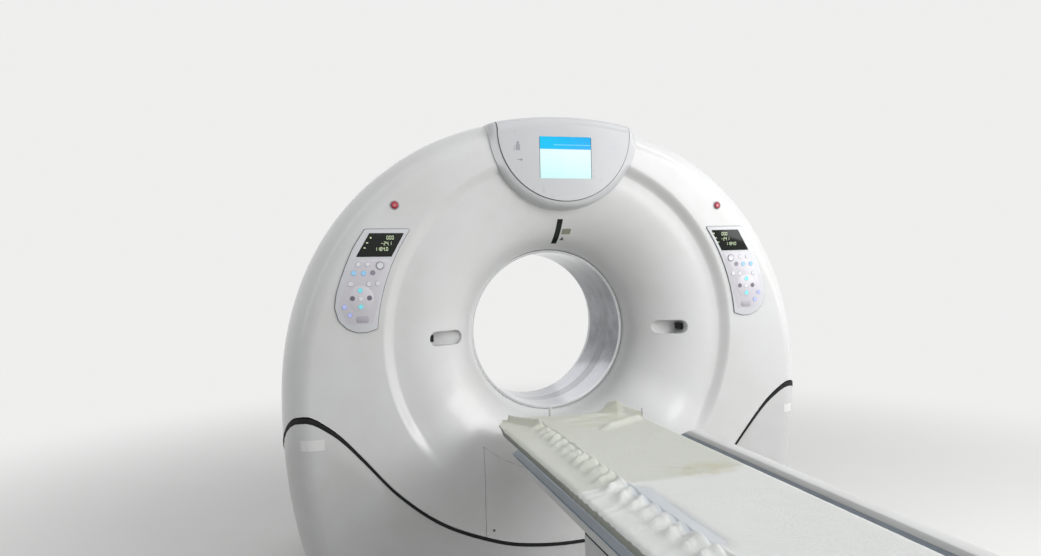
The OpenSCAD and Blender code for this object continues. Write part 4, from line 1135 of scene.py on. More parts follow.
key_white = key_plastic("key_white", (0.82, 0.82, 0.85))
key_blue = key_plastic("key_blue", (0.30, 0.58, 0.86), 0.25)
key_cyan = key_plastic("key_cyan", (0.20, 0.72, 0.80), 0.3)
key_lilac = key_plastic("key_lilac", (0.45, 0.50, 0.86), 0.2)
key_mauve = key_plastic("key_mauve", (0.30, 0.28, 0.34))
key_dark = key_plastic("key_dark", (0.16, 0.15, 0.19))
KEY_GROUPS = [(key_white, "white", [(877, 320), (841, 320), (909, 243), (837, 242), (803, 243),
                                    (870, 184)]),
              (key_blue, "blue", [(896, 286), (857, 285)]),
              (key_mauve, "mauve", [(821, 286)]),
              (key_cyan, "cyan", [(872, 217), (871, 152)]),
              (key_dark, "dark", [(903, 186), (837, 186)]),
              (key_lilac, "lilac", [(934, 153), (914, 120)])]
KEY_WIDTH, KEY_RISE = 0.0186, 0.002
CROSS_X, CROSS_Z, CROSS_RADIUS = 0.870, 0.185, 0.050
LABEL_X, LABEL_Z, LABEL_WIDTH, LABEL_HEIGHT = 0.866, 0.101, 0.050, 0.026
print("keys on each side:", sum(len(places) for finish, colour, places in KEY_GROUPS))


# %% Make a cap
def round_cap(name, x, z, width, low, high, rim, dish):
    """A cap that stands out of the face from depth low to depth high, with a dished top."""
    bpy.ops.mesh.primitive_cylinder_add(vertices=40, radius=width / 2, depth=high - low,
                                        location=(x, -(low + high) / 2, ISO + z),
                                        rotation=(math.radians(90), 0, 0))
    piece = apply_place(named(name))
    soften(piece, lambda e: all(v.co.y < -high + 1e-6 for v in e.verts), rim, 4)
    mesh = bmesh.new()
    mesh.from_mesh(piece.data)
    top = max(mesh.faces, key=lambda f: -f.calc_center_median().y * (len(f.verts) > 8))
    for sink in (dish, dish * 0.5):
        bmesh.ops.inset_region(mesh, faces=[top], thickness=width * 0.12)
        bmesh.ops.translate(mesh, verts=top.verts, vec=(0, sink, 0))
    mesh.to_mesh(piece.data)
    mesh.free()
    return piece


# %% Set the keys
key_cap = round_cap("cap", 0, 0, KEY_WIDTH, PANEL_FRONT - 0.0005, PANEL_FRONT + KEY_RISE, 0.0007, 0.0003)
key_ring = laid_plate("ring", disc_outline(0, 0, KEY_WIDTH / 2 + 0.0012, 32), PANEL_FRONT + 0.0009,
                      PANEL_FRONT - 0.0004, 0.0003, 1)
for side, word in SIDES:
    pad = laid_plate(word + "_key_field", on_side(rounded(PAD), side), PANEL_FRONT + 0.0002,
                     PANEL_FRONT - 0.0018, 0.0003, 2)
    hole = disc_outline(side * ENABLE_X, ENABLE_Z, ENABLE_WIDTH / 2 + 0.0035)
    cut(pad, laid_plate("hole", hole, PANEL_FRONT + 0.01, FACE))
    cross = laid_plate("cross", disc_outline(side * CROSS_X, CROSS_Z, CROSS_RADIUS, 72),
                       PANEL_FRONT + 0.0008, PANEL_FRONT, 0.0004, 2)
    field = rectangle(side * LABEL_X, LABEL_Z, LABEL_WIDTH, LABEL_HEIGHT, 0.008)
    label = laid_plate("label", field, PANEL_FRONT + 0.0006, PANEL_FRONT, 0.0003, 2)
    finished(join(word + "_key_field", [pad, cross]), keypad_white, "gantry",
             [word + "_keypad"])
    finished(label, print_colour(word + "_label_field", (0.44, 0.42, 0.47)), "gantry")
    collars = []
    for finish, colour, places in KEY_GROUPS:
        spots = [(side * x, 0, z) for x, z in in_metres(places)]
        caps = [copied(key_cap, spot) for spot in spots]
        collars += [copied(key_ring, spot) for spot in spots]
        finished(join(word + "_keys_" + colour, caps), finish, "gantry")
    finished(join(word + "_key_collars", collars), print_grey, "gantry")
for pattern in (key_cap, key_ring):
    bpy.data.objects.remove(pattern)

# %% [markdown]
# ## Keys that move
# The large motion enable key and the emergency stop slide in when they are pressed, so each rides
# on its own body. The stop is a small red mushroom in a grey collar. Both are turned parts, so a
# profile is spun round the press axis, which a stack of bevelled cylinders would only imitate.

# %% Mix the stop's plastics
stop_red = Finish("stop_red", (0.42, 0.012, 0.035), coat_weight=0.4)
stop_red.set("Roughness", stop_red.cloud(0.004, 3) * 0.2 + 0.22)
stop_pale = key_plastic("stop_pale", (0.62, 0.20, 0.24))
collar_grey = lacquer("collar_grey", (0.40, 0.40, 0.43), 0.3)


# %% Helpers for turned pieces
def turned_piece(name, x, z, profile, steps=56):
    """A body of revolution about a line along Y: its profile is radius and depth."""
    bpy.ops.mesh.primitive_circle_add(vertices=len(profile), fill_type="NOTHING")
    piece = named(name)
    points = [(x + radius, -depth, ISO + z) for radius, depth in profile]
    piece.data.vertices.foreach_set("co", np.array(points, float).reshape(-1))
    settings = {"steps": steps, "angle": 2 * math.pi, "center": (x, 0, ISO + z), "axis": (0, 1, 0)}
    edit(piece, (bpy.ops.mesh.spin, settings))
    weld(piece)
    edit(piece, (bpy.ops.mesh.dissolve_degenerate, {}), (bpy.ops.mesh.delete_loose, {}))
    edit(piece, (bpy.ops.mesh.normals_make_consistent, {"inside": False}))
    return outward(piece)


def outside(half, base, steps):
    """A profile whose steps are counted from a piece's outer edge and from a face."""
    return [(half + out, base + rise) for out, rise in steps]


# %% Turn the keys and stops
ENABLE_HALF, ESTOP_HALF = ENABLE_WIDTH / 2, ESTOP_WIDTH / 2
ring_profile = outside(ENABLE_HALF, PANEL_FRONT, [
    (0.0009, -0.002), (0.0009, 0.0016), (0.002, 0.0022), (0.0036, 0.0016), (0.0044, 0.0002),
    (0.0044, -0.002)])
stem_profile = outside(0, FACE, [(0.0, -0.014), (0.0056, -0.014), (0.0056, -0.001)])
head_profile = outside(ESTOP_HALF, FACE, [
    (-0.002, -0.001), (0, 0.0006), (0, 0.0052), (-0.0012, 0.0068), (-0.0042, 0.0078), (-0.0062, 0.0072)])
middle_profile = outside(0, FACE, [(0.004, 0.0068), (0.0, 0.0068)])
collar_profile = outside(ESTOP_HALF, FACE, [
    (0.0006, 0.0003), (0.0006, 0.0020), (0.0014, 0.0029), (0.0034, 0.0027), (0.0048, 0.0014),
    (0.0050, 0.0003)])
for side, word in SIDES:
    cap = round_cap(word + "_enable_cap", side * ENABLE_X, ENABLE_Z, ENABLE_WIDTH,
                    FACE + 0.0050, PANEL_FRONT + 0.0035, 0.0014, 0.0005)
    finished(cap, key_white, word + "_enable", [word + "_enable_key"])
    ring = turned_piece(word + "_enable_ring", side * ENABLE_X, ENABLE_Z, ring_profile)
    finished(ring, collar_grey, "gantry")
    knob = turned_piece(word + "_stop_knob", side * ESTOP_X, ESTOP_Z,
                        stem_profile + head_profile + middle_profile)
    finished(knob, stop_red, word + "_stop", [word + "_estop"])
    spot = round_cap(word + "_stop_spot", side * ESTOP_X, ESTOP_Z, 0.012, FACE + 0.0066,
                     FACE + 0.0076, 0.0004, 0.0)
    finished(spot, stop_pale, word + "_stop")
collars = [turned_piece("collar", side * ESTOP_X, ESTOP_Z, collar_profile) for side in (-1, 1)]
finished(join("stop_collars", collars), collar_grey, "gantry", ["estop_collars"])

# %% [markdown]
# ## The couch's rails
# Along both sides of the couch runs an extruded aluminium rail with a white plastic cap pressed
# into its top. The profile has a groove in the side for accessories. It is made as the real one
# is: drawn as a face, extruded along the couch, and cut off slantwise at the nose with bisect.

# %% Helper for bars along the couch
def along_couch(name, profile, front, back):
    """A bar along the couch: a profile of x and z, extruded from depth front to depth back."""
    bpy.ops.mesh.primitive_circle_add(vertices=len(profile), fill_type="NGON")
    piece = named(name)
    points = [(x, -front, z) for x, z in profile]
    piece.data.vertices.foreach_set("co", np.array(points, float).reshape(-1))
    face_towards(piece, (0, 1, 0))
    move = {"value": (0, front - back, 0)}
    edit(piece, (bpy.ops.mesh.extrude_region_move, {"TRANSFORM_OT_translate": move}))
    edit(piece, (bpy.ops.mesh.normals_make_consistent, {"inside": False}))
    return outward(piece)


# %% Sizes of the rails
low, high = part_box("side_rails")
RAIL_IN, RAIL_OUT, RAIL_LOW, RAIL_TOP = 0.3003, high[0], low[2], high[2]
RAIL_FRONT, RAIL_BACK = -high[1], -low[1]
NOSE_START = Vector((0, -0.809, RAIL_LOW + 0.008))
NOSE_WAY = Vector((0, 0.090, 0.201)).normalized()
CAP_LOW = RAIL_TOP - 0.019


def cut_nose(piece, bevel):
    """Cuts the front end of a rail off slantwise and eases the new edge."""
    edit(piece, (bpy.ops.mesh.bisect, {"plane_co": NOSE_START, "plane_no": NOSE_WAY,
                                       "clear_outer": True, "use_fill": True}))
    return soften(piece, lambda e: all(abs((v.co - NOSE_START).dot(NOSE_WAY)) < 1e-4 for v in e.verts),
                  bevel, 2)


# %% Extrude the rails
metal_profile = [(RAIL_IN, RAIL_LOW + 0.004), (RAIL_IN + 0.004, RAIL_LOW)]
metal_profile += [(RAIL_OUT - inset, RAIL_LOW + up) for inset, up in (
    (0.022, 0), (0.014, 0.002), (0.005, 0.013), (0.001, 0.019), (0.0045, 0.0205), (0.0045, 0.0235),
    (0, 0.025), (0, 0.052), (0.001, 0.0532), (0.001, 0.0545), (0, 0.056))]
metal_profile += [(RAIL_OUT - 0.0002, CAP_LOW - 0.0008), (RAIL_OUT - 0.003, CAP_LOW), (RAIL_IN, CAP_LOW)]
cap_profile = [(RAIL_IN, CAP_LOW + 0.0006), (RAIL_OUT - 0.0022, CAP_LOW + 0.0006),
               (RAIL_OUT - 0.0008, CAP_LOW + 0.0022)]
cap_profile += [(RAIL_OUT - 0.0168 + 0.016 * math.cos(a), RAIL_TOP - 0.0158 + 0.0156 * math.sin(a))
                for a in (math.radians(10 * k) for k in range(1, 10))]
cap_profile += [(RAIL_IN + 0.0040, RAIL_TOP - 0.0002), (RAIL_IN + 0.0012, RAIL_TOP - 0.0014),
                (RAIL_IN, RAIL_TOP - 0.0042)]
caps = []
for side, word in SIDES:
    rail = along_couch(word + "_rail", [(side * x, z) for x, z in metal_profile], RAIL_FRONT, RAIL_BACK)
    finished(cut_nose(rail, 0.0012), rail_metal, "couch_top", ["side_rails"], degrees=30)
    cap = along_couch("rail_cap", [(side * x, z) for x, z in cap_profile], RAIL_FRONT, RAIL_BACK)
    caps.append(cut_nose(cap, 0.0015))
finished(join("rail_caps", caps), couch_white, "couch_top", degrees=30)
print("rails:", round(RAIL_BACK - RAIL_FRONT, 3), "m long")

# %% [markdown]
# ## Shrouds and floor bolts of the couch
# Three nested shrouds hide the lifting column. Each is a bent sheet with a rolled upper edge, and
# the lower two carry a rubber wiper along it. They are laid as a rounded rectangle and raised as
# rings of points, so the roll is part of the same surface. Hexagon bolts on washers hold the
# floor plate.

# %% Helpers for bent sheets
SHROUD_CORNER, SHROUD_WALL = 0.040, 0.004


def ring_of(half, front, back, radius, steps=8):
    """A rounded rectangle in plan, about the couch's middle line."""
    points = []
    for sx, y, first in ((1, -front, 0), (-1, -front, 90), (-1, -back, 180), (1, -back, 270)):
        inward = -1 if y == -front else 1
        for k in range(steps + 1):
            a = math.radians(first + 90 * k / steps)
            points.append((sx * (half - radius) + radius * math.cos(a),
                           y + inward * radius + radius * math.sin(a)))
    return points


def raised_rings(name, node, profile):
    """A bent sheet round a node's plan. The profile says how far in it lies at each height."""
    low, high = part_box(node)
    rings = []
    for inset, z in profile:
        ring = ring_of(high[0] - inset, -high[1] + inset, -low[1] - inset, SHROUD_CORNER - inset)
        rings.append([(x, y, z) for x, y in ring + ring[:1]])
    piece = weld(laid_grid(name, rings))
    return edit(piece, (bpy.ops.mesh.normals_make_consistent, {"inside": False}))


def rolled_shroud(name, node, roll):
    """A shroud that follows its CAD node, with its upper edge rolled in."""
    low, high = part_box(node)
    turn = [math.radians(22.5 * k) for k in (1, 2, 3, 4)]
    profile = [(0.0, z) for z in (low[2], low[2] + 0.02, (low[2] + high[2]) / 2, high[2] - roll)]
    profile += [(roll * (1 - math.cos(a)), high[2] - roll + roll * math.sin(a)) for a in turn]
    piece = raised_rings(name, node, profile)
    modify(piece, "SOLIDIFY", thickness=SHROUD_WALL, offset=-1, use_even_offset=True)
    return outward(piece)


# %% Raise the shrouds
for node, body, roll in (("couch_base_shroud", "base", 0.003),
                         ("couch_middle_shroud", "couch_middle", 0.003),
                         ("couch_upper_shroud", "couch_top", 0.0016)):
    piece = rolled_shroud(node.replace("shroud", "sheet_metal"), node, roll)
    finished(piece, couch_white, body, [node], degrees=40)
    print(node, "has", len(piece.data.polygons), "faces")

# %% Fit the wipers
OUTER_WIPER = ((0.0002, -0.012), (0.0018, -0.010), (0.0018, -0.002), (0.0, 0.0012), (-0.0036, 0.0012))
INNER_WIPER = ((-0.0012, 0.0001), (-0.0012, 0.0008), (-0.0036, 0.0012))
for node, body, wiper_profile in (("couch_base_shroud", "base", OUTER_WIPER),
                                  ("couch_middle_shroud", "couch_middle", INNER_WIPER)):
    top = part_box(node)[1][2]
    wiper = raised_rings(node + "_wiper", node, [(-grow, top + rise) for grow, rise in wiper_profile])
    modify(wiper, "SOLIDIFY", thickness=0.0008, offset=1)
    finished(outward(wiper), black_rubber, body, degrees=40)

# %% Bolt down the plinth
low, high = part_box("couch_plinth")
PLINTH_TOP = high[2]
BOLT_X, BOLT_ROOM = 0.265, 0.045
BOLT_RADIUS, BOLT_HIGH, WASHER_RADIUS, WASHER_HIGH = 0.0115, 0.008, 0.0135, 0.0022


def bolt_part(name, sides, radius, height, middle, bevel):
    """An upright disc over the floor plate, with its upper edge eased."""
    bpy.ops.mesh.primitive_cylinder_add(vertices=sides, radius=radius, depth=height,
                                        location=(0, 0, PLINTH_TOP + middle))
    piece = apply_place(named(name))
    top = PLINTH_TOP + middle + height / 2 - 0.0001
    return soften(piece, lambda e: all(v.co.z > top for v in e.verts), bevel, 2)


bolt = bolt_part("bolt", 6, BOLT_RADIUS, BOLT_HIGH, 0.0062, 0.0012)
washer = bolt_part("washer", 32, WASHER_RADIUS, WASHER_HIGH, 0.0012, 0.0006)
heads = [copied(piece, (x, y, 0)) for x in (-BOLT_X, BOLT_X)
         for y in (low[1] + BOLT_ROOM, high[1] - BOLT_ROOM) for piece in (bolt, washer)]
for pattern in (bolt, washer):
    bpy.data.objects.remove(pattern)
finished(join("plinth_bolts", heads), bearing_steel, "base", degrees=30)

# %% [markdown]
# ## The mattress
# A thin foam mattress in a vinyl cover lies in the trough of the tabletop. It is a closed form: the
# top dips in the middle where people lie, the sides bulge a little, and the ends are round. A
# bevelled box would be flat on top, so rings of points go round it from end to end. Seen under the
# sheet only its outline counts, but it is finished because the sheet can be taken off.

# %% Fill the mattress
TABLE_HIGH, TABLE_HALF, TROUGH = 0.705, 0.235, 0.022
PAD_HALF, PAD_ROUND, PAD_COLUMNS = 0.216, 0.011, 96
low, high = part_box("mattress")
PAD_FRONT, PAD_LONG = -high[1], high[1] - low[1]


def trough_height(x):
    """Height of the tabletop's hollow."""
    return TABLE_HIGH - TROUGH * (1 - (x / TABLE_HALF) ** 2)


def pad_height(x):
    """Height of the mattress's top, which dips in the middle."""
    return TABLE_HIGH + 0.005 - 0.008 * (1 - (x / PAD_HALF) ** 2)


pad_rows = []
near_end = np.array([0, 0.0015, 0.005, PAD_ROUND])
for y in np.concatenate([near_end, np.linspace(0.02, PAD_LONG - 0.02, 90), PAD_LONG - near_end[::-1]]):
    lean = max(0.0, 1 - min(y, PAD_LONG - y) / PAD_ROUND)
    fill = 0.25 + 0.75 * math.sqrt(max(0.0, 1 - lean * lean))
    row = []
    for k in range(PAD_COLUMNS):
        a = 2 * math.pi * k / PAD_COLUMNS
        x = PAD_HALF * signed_power(math.cos(a), 0.16)
        bottom, top = trough_height(x) + 0.0005, pad_height(x) - 0.0003
        swell = 0.0006 * noise.noise(Vector((x * 7, y * 5, 3))) if 0 < a < math.pi else 0
        z = (bottom + top) / 2 + (top - bottom) / 2 * fill * signed_power(math.sin(a), 0.5) + swell
        row.append((float(x), -(PAD_FRONT + y), float(z)))
    pad_rows.append(row + row[:1])
mattress = weld(laid_grid("mattress_pad", pad_rows), 0.00001)
edit(mattress, (bpy.ops.mesh.select_all, {"action": "DESELECT"}),
     (bpy.ops.mesh.select_non_manifold, {}), (bpy.ops.mesh.edge_face_add, {}))
edit(mattress, (bpy.ops.mesh.normals_make_consistent, {"inside": False}))
print("mattress:", len(mattress.data.polygons), "faces,", round(PAD_LONG, 3), "m long")

# %% Cover the mattress with vinyl
vinyl = Finish("vinyl", (0.60, 0.63, 0.66))
scuffed = vinyl.cloud(0.05, 4).above(0.55, 0.15)
vinyl.set("Base Color", vinyl.blend(scuffed * 0.3, (0.60, 0.63, 0.66), (0.50, 0.53, 0.57)))
vinyl.set("Roughness", vinyl.cloud(0.02, 3) * 0.2 + 0.32)
vinyl.bump(vinyl.cloud(0.0012, 2), 0.0002)
finished(outward(mattress), vinyl, "table", ["mattress"], degrees=70)

# %% [markdown]
# ## The sheet
# A thin cotton sheet covers the mattress. On the left it reaches over the rail with a flat strip
# and a hem that is painted dark as painted shade, a gathered band runs beside that, and at the head
# end it is bunched where it was pulled. Such a sheet is a single surface, so it is laid as one fine
# grid over the table's section. Every fold is a sum of formulas: creased waves for the gathers, a
# long smooth tuck, and soft heaps at the head. The folds have fixed places, which a cloth simulation
# would not give.

# %% Waves and noises for cloth
low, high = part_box("sheet")
SHEET_FRONT, SHEET_LONG = -high[1], high[1] - low[1]


def smooth_step(value, start, end):
    """0 before the start and 1 after the end, with a smooth turn between."""
    t = np.clip((value - start) / (end - start), 0, 1)
    return t * t * (3 - 2 * t)


def hump(value, middle, width):
    """A soft bell of height 1."""
    return np.exp(-((value - middle) / width) ** 2)


def creased(phase):
    """A wave with sharp crests and wide hollows, like cloth that is drawn together."""
    return 1 - np.abs(np.sin(phase)) ** 0.7


def soft_noise(x, y, scale, seed):
    """Smooth noise over the sheet, between -1 and 1."""
    return np.array([noise.noise(Vector((a * scale, b * scale, seed)))
                     for a, b in zip(x.ravel(), y.ravel())]).reshape(x.shape)


def folded(x0, y0, turn, long, wide, x, y):
    """A short straight fold about a place, turned by an angle."""
    a = (x - x0) * math.cos(turn) + (y - y0) * math.sin(turn)
    b = -(x - x0) * math.sin(turn) + (y - y0) * math.cos(turn)
    return hump(a, 0, long) * hump(b, 0, wide)


# %% Draw the section across the sheet
ON_RAIL = 0.7077
OVER_RAIL = [(-0.3602, 0.6850), (-0.3604, 0.6880), (-0.3602, 0.6915), (-0.3580, 0.6966),
             (-0.3530, 0.7020), (-0.3465, 0.7060), (-0.3400, 0.7075)]
OVER_RAIL += [(x, ON_RAIL) for x in (-0.3340, -0.3280, -0.3220, -0.3160, -0.3110, -0.3065)]
OVER_RAIL += [(-0.3030, 0.7078)]
RIGHT_EDGE = [(0.2162, 0.7126), (0.2215, 0.7110), (0.2275, 0.7088), (0.2325, 0.7072)]


def sheet_section():
    """Points across the sheet, from the hem on the left, over the mattress, to the right edge."""
    points = list(OVER_RAIL)
    for x in np.concatenate([np.linspace(-0.2990, -0.274, 6), np.linspace(-0.270, -0.185, 24)]):
        points.append((x, np.interp(x, [-0.320, -0.237, -0.217, -0.185],
                                    [0.7079, 0.7079, 0.7130, 0.7118])))
    for x in np.linspace(-0.179, 0.210, 60):
        points.append((x, pad_height(x) + 0.0026))
    return np.array(points + RIGHT_EDGE)


# The rows lie closer together where the photograph shows the folds
FINE_PART = 1.18
section = sheet_section()
down = np.concatenate([np.arange(0, FINE_PART, 0.0052), np.arange(FINE_PART, SHEET_LONG, 0.0155)])
down = np.append(down, SHEET_LONG)
D = np.repeat((SHEET_FRONT + down)[:, None], len(section), 1)
along = np.repeat(down[:, None], len(section), 1)
X = np.repeat(section[None, :, 0], len(down), 0)
Z = np.repeat(section[None, :, 1], len(down), 0)
print("sheet's grid:", X.shape)

# %% [markdown]
# ## Folds of the sheet
# X, Z and D hold the places of the grid's points: across, up, and away from the gantry. Each cell
# adds one kind of fold to them, with a mask that keeps it in its place.

# %% Lay the border over the rail
# The front corner of the border is drawn in and turned up, so that it clears the bell mouth
turned_up = (1 - smooth_step(D, 0.550, 0.660)) * np.clip((-0.300 - X) / 0.055, 0, 1)
hanging = np.maximum(0.7074 - Z, 0) * (X < -0.300)
Z += hanging * (1 - smooth_step(D, 0.670, 0.730))
X += turned_up * 0.040
border = np.zeros_like(X)
border[:, :len(OVER_RAIL)] = 1

# %% Gather the band beside the border
band_left = np.interp(D, [0.6, 0.9, 1.2, 1.5, 3], [-0.262, -0.268, -0.280, -0.290, -0.292])
band_right = np.interp(D, [0.6, 0.9, 1.2, 3], [-0.198, -0.192, -0.199, -0.197])
inside = smooth_step(X, band_left - 0.004, band_left + 0.038) * (
    1 - smooth_step(X, band_right - 0.016, band_right + 0.008))
wander = soft_noise(X, D, 9, 1.7) * 0.9
waves = np.sin((D + 0.62 * X) * 88 + wander * 2.6 + soft_noise(X, D, 14, 5.1) * 1.8)
folds = (0.5 + 0.5 * waves) ** 1.3 * (0.8 + 0.6 * soft_noise(X, D, 7, 6.2))
inside *= smooth_step(along, 0.10, 0.20)
Z += inside * (0.0200 * folds + 0.003 * soft_noise(X, D, 60, 2.4))
D2 = D + inside * 0.004 * soft_noise(X, D, 40, 8.2)
ridge = hump(X, band_right + 0.004, 0.0045) * smooth_step(along, 0.06, 0.16)
Z += (0.0080 + 0.0012 * waves) * ridge

# %% Crinkle the border and its hanging side, from the middle of the couch back
crinkled = smooth_step(D, 1.36, 1.58)
waves = creased(D * 74 + X * 30 + soft_noise(X, D, 12, 4.4) * 2.4)
outer = border * (X < -0.3578)
X2 = X - outer * crinkled * 0.0030 * waves
Z += border * (1 - outer) * crinkled * 0.0046 * waves
Z += (1 - border) * (X < -0.262) * crinkled * 0.0042 * waves
Z += 0.0005 * (soft_noise(X, D, 30, 6.6) + 0.6)

# %% Draw in the tuck, where the sheet is tight over a hollow beside the band
tuck = hump(X, -0.178 + 0.008 * np.sin(D * 6), 0.034) * smooth_step(D, 1.50, 1.60) * (
    1 - smooth_step(D, 1.93, 2.02))
Z -= 0.0085 * tuck

# %% Slacken the sheet over the mattress, with a long crease across it
over = (X > -0.19) * smooth_step(X, -0.19, -0.15) * (1 - smooth_step(X, 0.205, 0.230))
Z += over * (0.0022 * soft_noise(X, D, 5, 3.3) + 0.0007 * soft_noise(X, D, 15, 0.8))
Z += over * 0.0022 * hump(D + 0.10 * X, 1.475, 0.010)
for x0, d0, turn, long, high_fold in ((0.02, 1.50, 0.5, 0.10, 0.0020),
                                      (0.06, 1.42, 0.7, 0.08, 0.0018),
                                      (0.10, 1.36, 0.2, 0.07, 0.0016),
                                      (-0.05, 1.20, -0.4, 0.09, 0.0012)):
    Z += 1.6 * over * high_fold * folded(x0, d0, turn, long, 0.008, X, D)

# %% Heap the head end: a raised corner on the right, slack folds, and a roll on the left
corner = hump(X, 0.180, 0.055) * hump(along, 0.0, 0.085)
Z += 0.038 * corner * (0.8 + 0.2 * creased(X * 60 + D * 25))
pocket = hump(X, 0.185, 0.045) * hump(along, 0.165, 0.040)
Z += 0.020 * hump((X - 0.10) * 0.45 + (along - 0.245) * 0.9, 0, 0.016) * smooth_step(X, -0.03, 0.06) * (
    1 - smooth_step(X, 0.19, 0.225))
Z += 0.020 * hump((X - 0.21) * 0.8 - (along - 0.10) * 0.5, 0, 0.014) * smooth_step(X, 0.10, 0.17) * (
    1 - smooth_step(along, 0.16, 0.24))
Z -= 0.0025 * pocket
for x0, d0, turn, long, high_fold in ((0.06, 0.07, 0.25, 0.07, 0.008),
                                      (0.11, 0.13, 0.5, 0.06, 0.008),
                                      (0.00, 0.17, 0.15, 0.08, 0.005),
                                      (-0.07, 0.10, -0.2, 0.07, 0.004),
                                      (0.15, 0.05, 0.9, 0.04, 0.009),
                                      (-0.02, 0.26, 0.1, 0.07, 0.003)):
    Z += 1.7 * high_fold * folded(x0, d0, turn, long, 0.011, X, along)
roll_line = np.interp(X, [-0.30, -0.21], [0.030, 0.185])
roll = hump(along - roll_line, 0, 0.014) * (1 - smooth_step(X, -0.222, -0.198)) * (1 - border)
Z += 0.026 * roll
Z -= 0.0015 * hump(along - roll_line - 0.030, 0, 0.012) * (X < -0.24) * (1 - border)

# %% Lay the sheet
sheet = laid_grid("cotton_sheet", np.stack([X2, -D2, Z], -1))
face_towards(sheet, (0, 0, 1))
area = sum(face.area for face in sheet.data.polygons)
modify(sheet, "SOLIDIFY", thickness=0.0009, offset=-1)
outward(sheet)
print("sheet:", len(sheet.data.polygons), "faces, area", round(area, 4), "m2")

# %% [markdown]
# ## The sheet's cloth
# The cotton is plain woven, so two fine waves in the bump stand for warp and weft. Most of it is
# an uneven white. The part nearest the gantry, up to a long crease, is painted darker and creamier,
# painted shade for the shadowed side of the crease. The tuck looks blue-grey, a stain lies beside
# the crease, and the hem that hangs over the rail is painted dark, painted shade for cloth that faces
# away from the light. Each of these is a mask made of the place across and along the couch, with
# noise on its edge.

# %% Weave the sheet's cloth
THREADS = 5200
cotton = Finish("cotton", (0.72, 0.73, 0.69), sheen_weight=0.25)
x, depth = cotton.axis(0), 0 - cotton.axis(1)
warp, weft = (cotton.axis(0) * THREADS).sine(), (cotton.axis(1) * THREADS).sine()
# Painted shade: nearer the gantry than the long crease, the cloth is painted darker and creamier.
shadow_side = 1 - (depth + x * 0.10).above(1.485, 0.012)
cloth_shade_and_stains = cotton.blend(shadow_side * 0.9, (0.84, 0.85, 0.825), (0.690, 0.705, 0.630))
stain_place = cotton.place((1, 1, 0), move=(-0.09, 1.44, 0))
spread = cotton.axis(0, stain_place) ** 2.0 * 42 + cotton.axis(1, stain_place) ** 2.0 * 120
stain = (1 - spread.above(0.45, 0.45)) * cotton.cloud(0.05, 4, rough=0.6).above(0.45, 0.22)
cloth_shade_and_stains = cotton.blend(stain * 0.95, cloth_shade_and_stains, (0.62, 0.60, 0.45))
head_stain = (1 - depth.above(0.80, 0.16)) * cotton.cloud(0.08, 4).above(0.5, 0.2)
cloth_shade_and_stains = cotton.blend(head_stain * 0.5, cloth_shade_and_stains, (0.66, 0.65, 0.50))
wander = cotton.cloud(0.16, 3) * 0.03
tucked = (x + wander).above(-0.206, 0.012) * (1 - (x + wander).above(-0.140, 0.030)) * (
    depth.above(1.53, 0.03) * (1 - depth.above(1.96, 0.05)))
cloth = cotton.blend(tucked * 0.8, cloth_shade_and_stains, (0.48, 0.53, 0.58))
# Painted shade: the hem that hangs over the rail is painted dark, darkest nearest the gantry, for cloth
# that faces away from the light.
hem_shade_tone = cotton.blend(depth.above(1.45, 0.12), (0.20, 0.21, 0.18), (0.28, 0.29, 0.25))
hem = 1 - (x + cotton.cloud(0.03, 2) * 0.003).above(-0.3540, 0.0015)
cotton.set("Base Color", cotton.blend(hem, cloth, hem_shade_tone))
cotton.set("Roughness", cotton.cloud(0.04, 3) * 0.12 + 0.80)
cotton.bump(warp * 0.25 + weft * 0.25 + cotton.cloud(0.012, 4, rough=0.6) * 3.0, 0.0006)
finished(sheet, cotton, "table", ["sheet"], degrees=80)
flat_size = (round(area / SHEET_LONG, 4), round(SHEET_LONG, 4))
print("sheet laid flat:", flat_size)

# %% [markdown]
# ## Films and bare labels on the covers
# A dark film covers the slit of the top laser. Beside it, and on the base covers, sit thin labels,
# left bare here. Each starts as a small grid or disc in front of the cover. Its points go onto the
# front cover by that cover's own formula, because a projection would fall through the slit, and
# onto a base cover by a Shrinkwrap modifier. Solidify makes it a film of its own.

# %% Lay the films and labels
def laid_film(name, x, z, width, height, on, body, finish, corners=4):
    """A thin film laid on a cover: a rectangle, or a small outline with other corners."""
    if corners == 4:
        bpy.ops.mesh.primitive_grid_add(x_subdivisions=12, y_subdivisions=12, size=1)
    else:
        bpy.ops.mesh.primitive_circle_add(vertices=corners, radius=0.5, fill_type="NGON")
    piece = named(name)
    piece.scale = (width, height, 1)
    piece.rotation_euler = (math.radians(90), 0, 0)
    piece.location = (x, -0.75, z)
    apply_place(piece)
    if on is front_shell:
        for point in piece.data.vertices:
            point.co.y = -cover_depth(point.co.x, point.co.z - ISO) - 0.0007
    else:
        modify(piece, "SHRINKWRAP", target=on, wrap_method="PROJECT", use_project_y=True,
               use_positive_direction=True, use_negative_direction=False, offset=0.0005)
    face_towards(piece, (0, -1, 0))
    modify(piece, "SOLIDIFY", thickness=0.0004, offset=-1)
    return finished(outward(piece), finish, body, degrees=60)


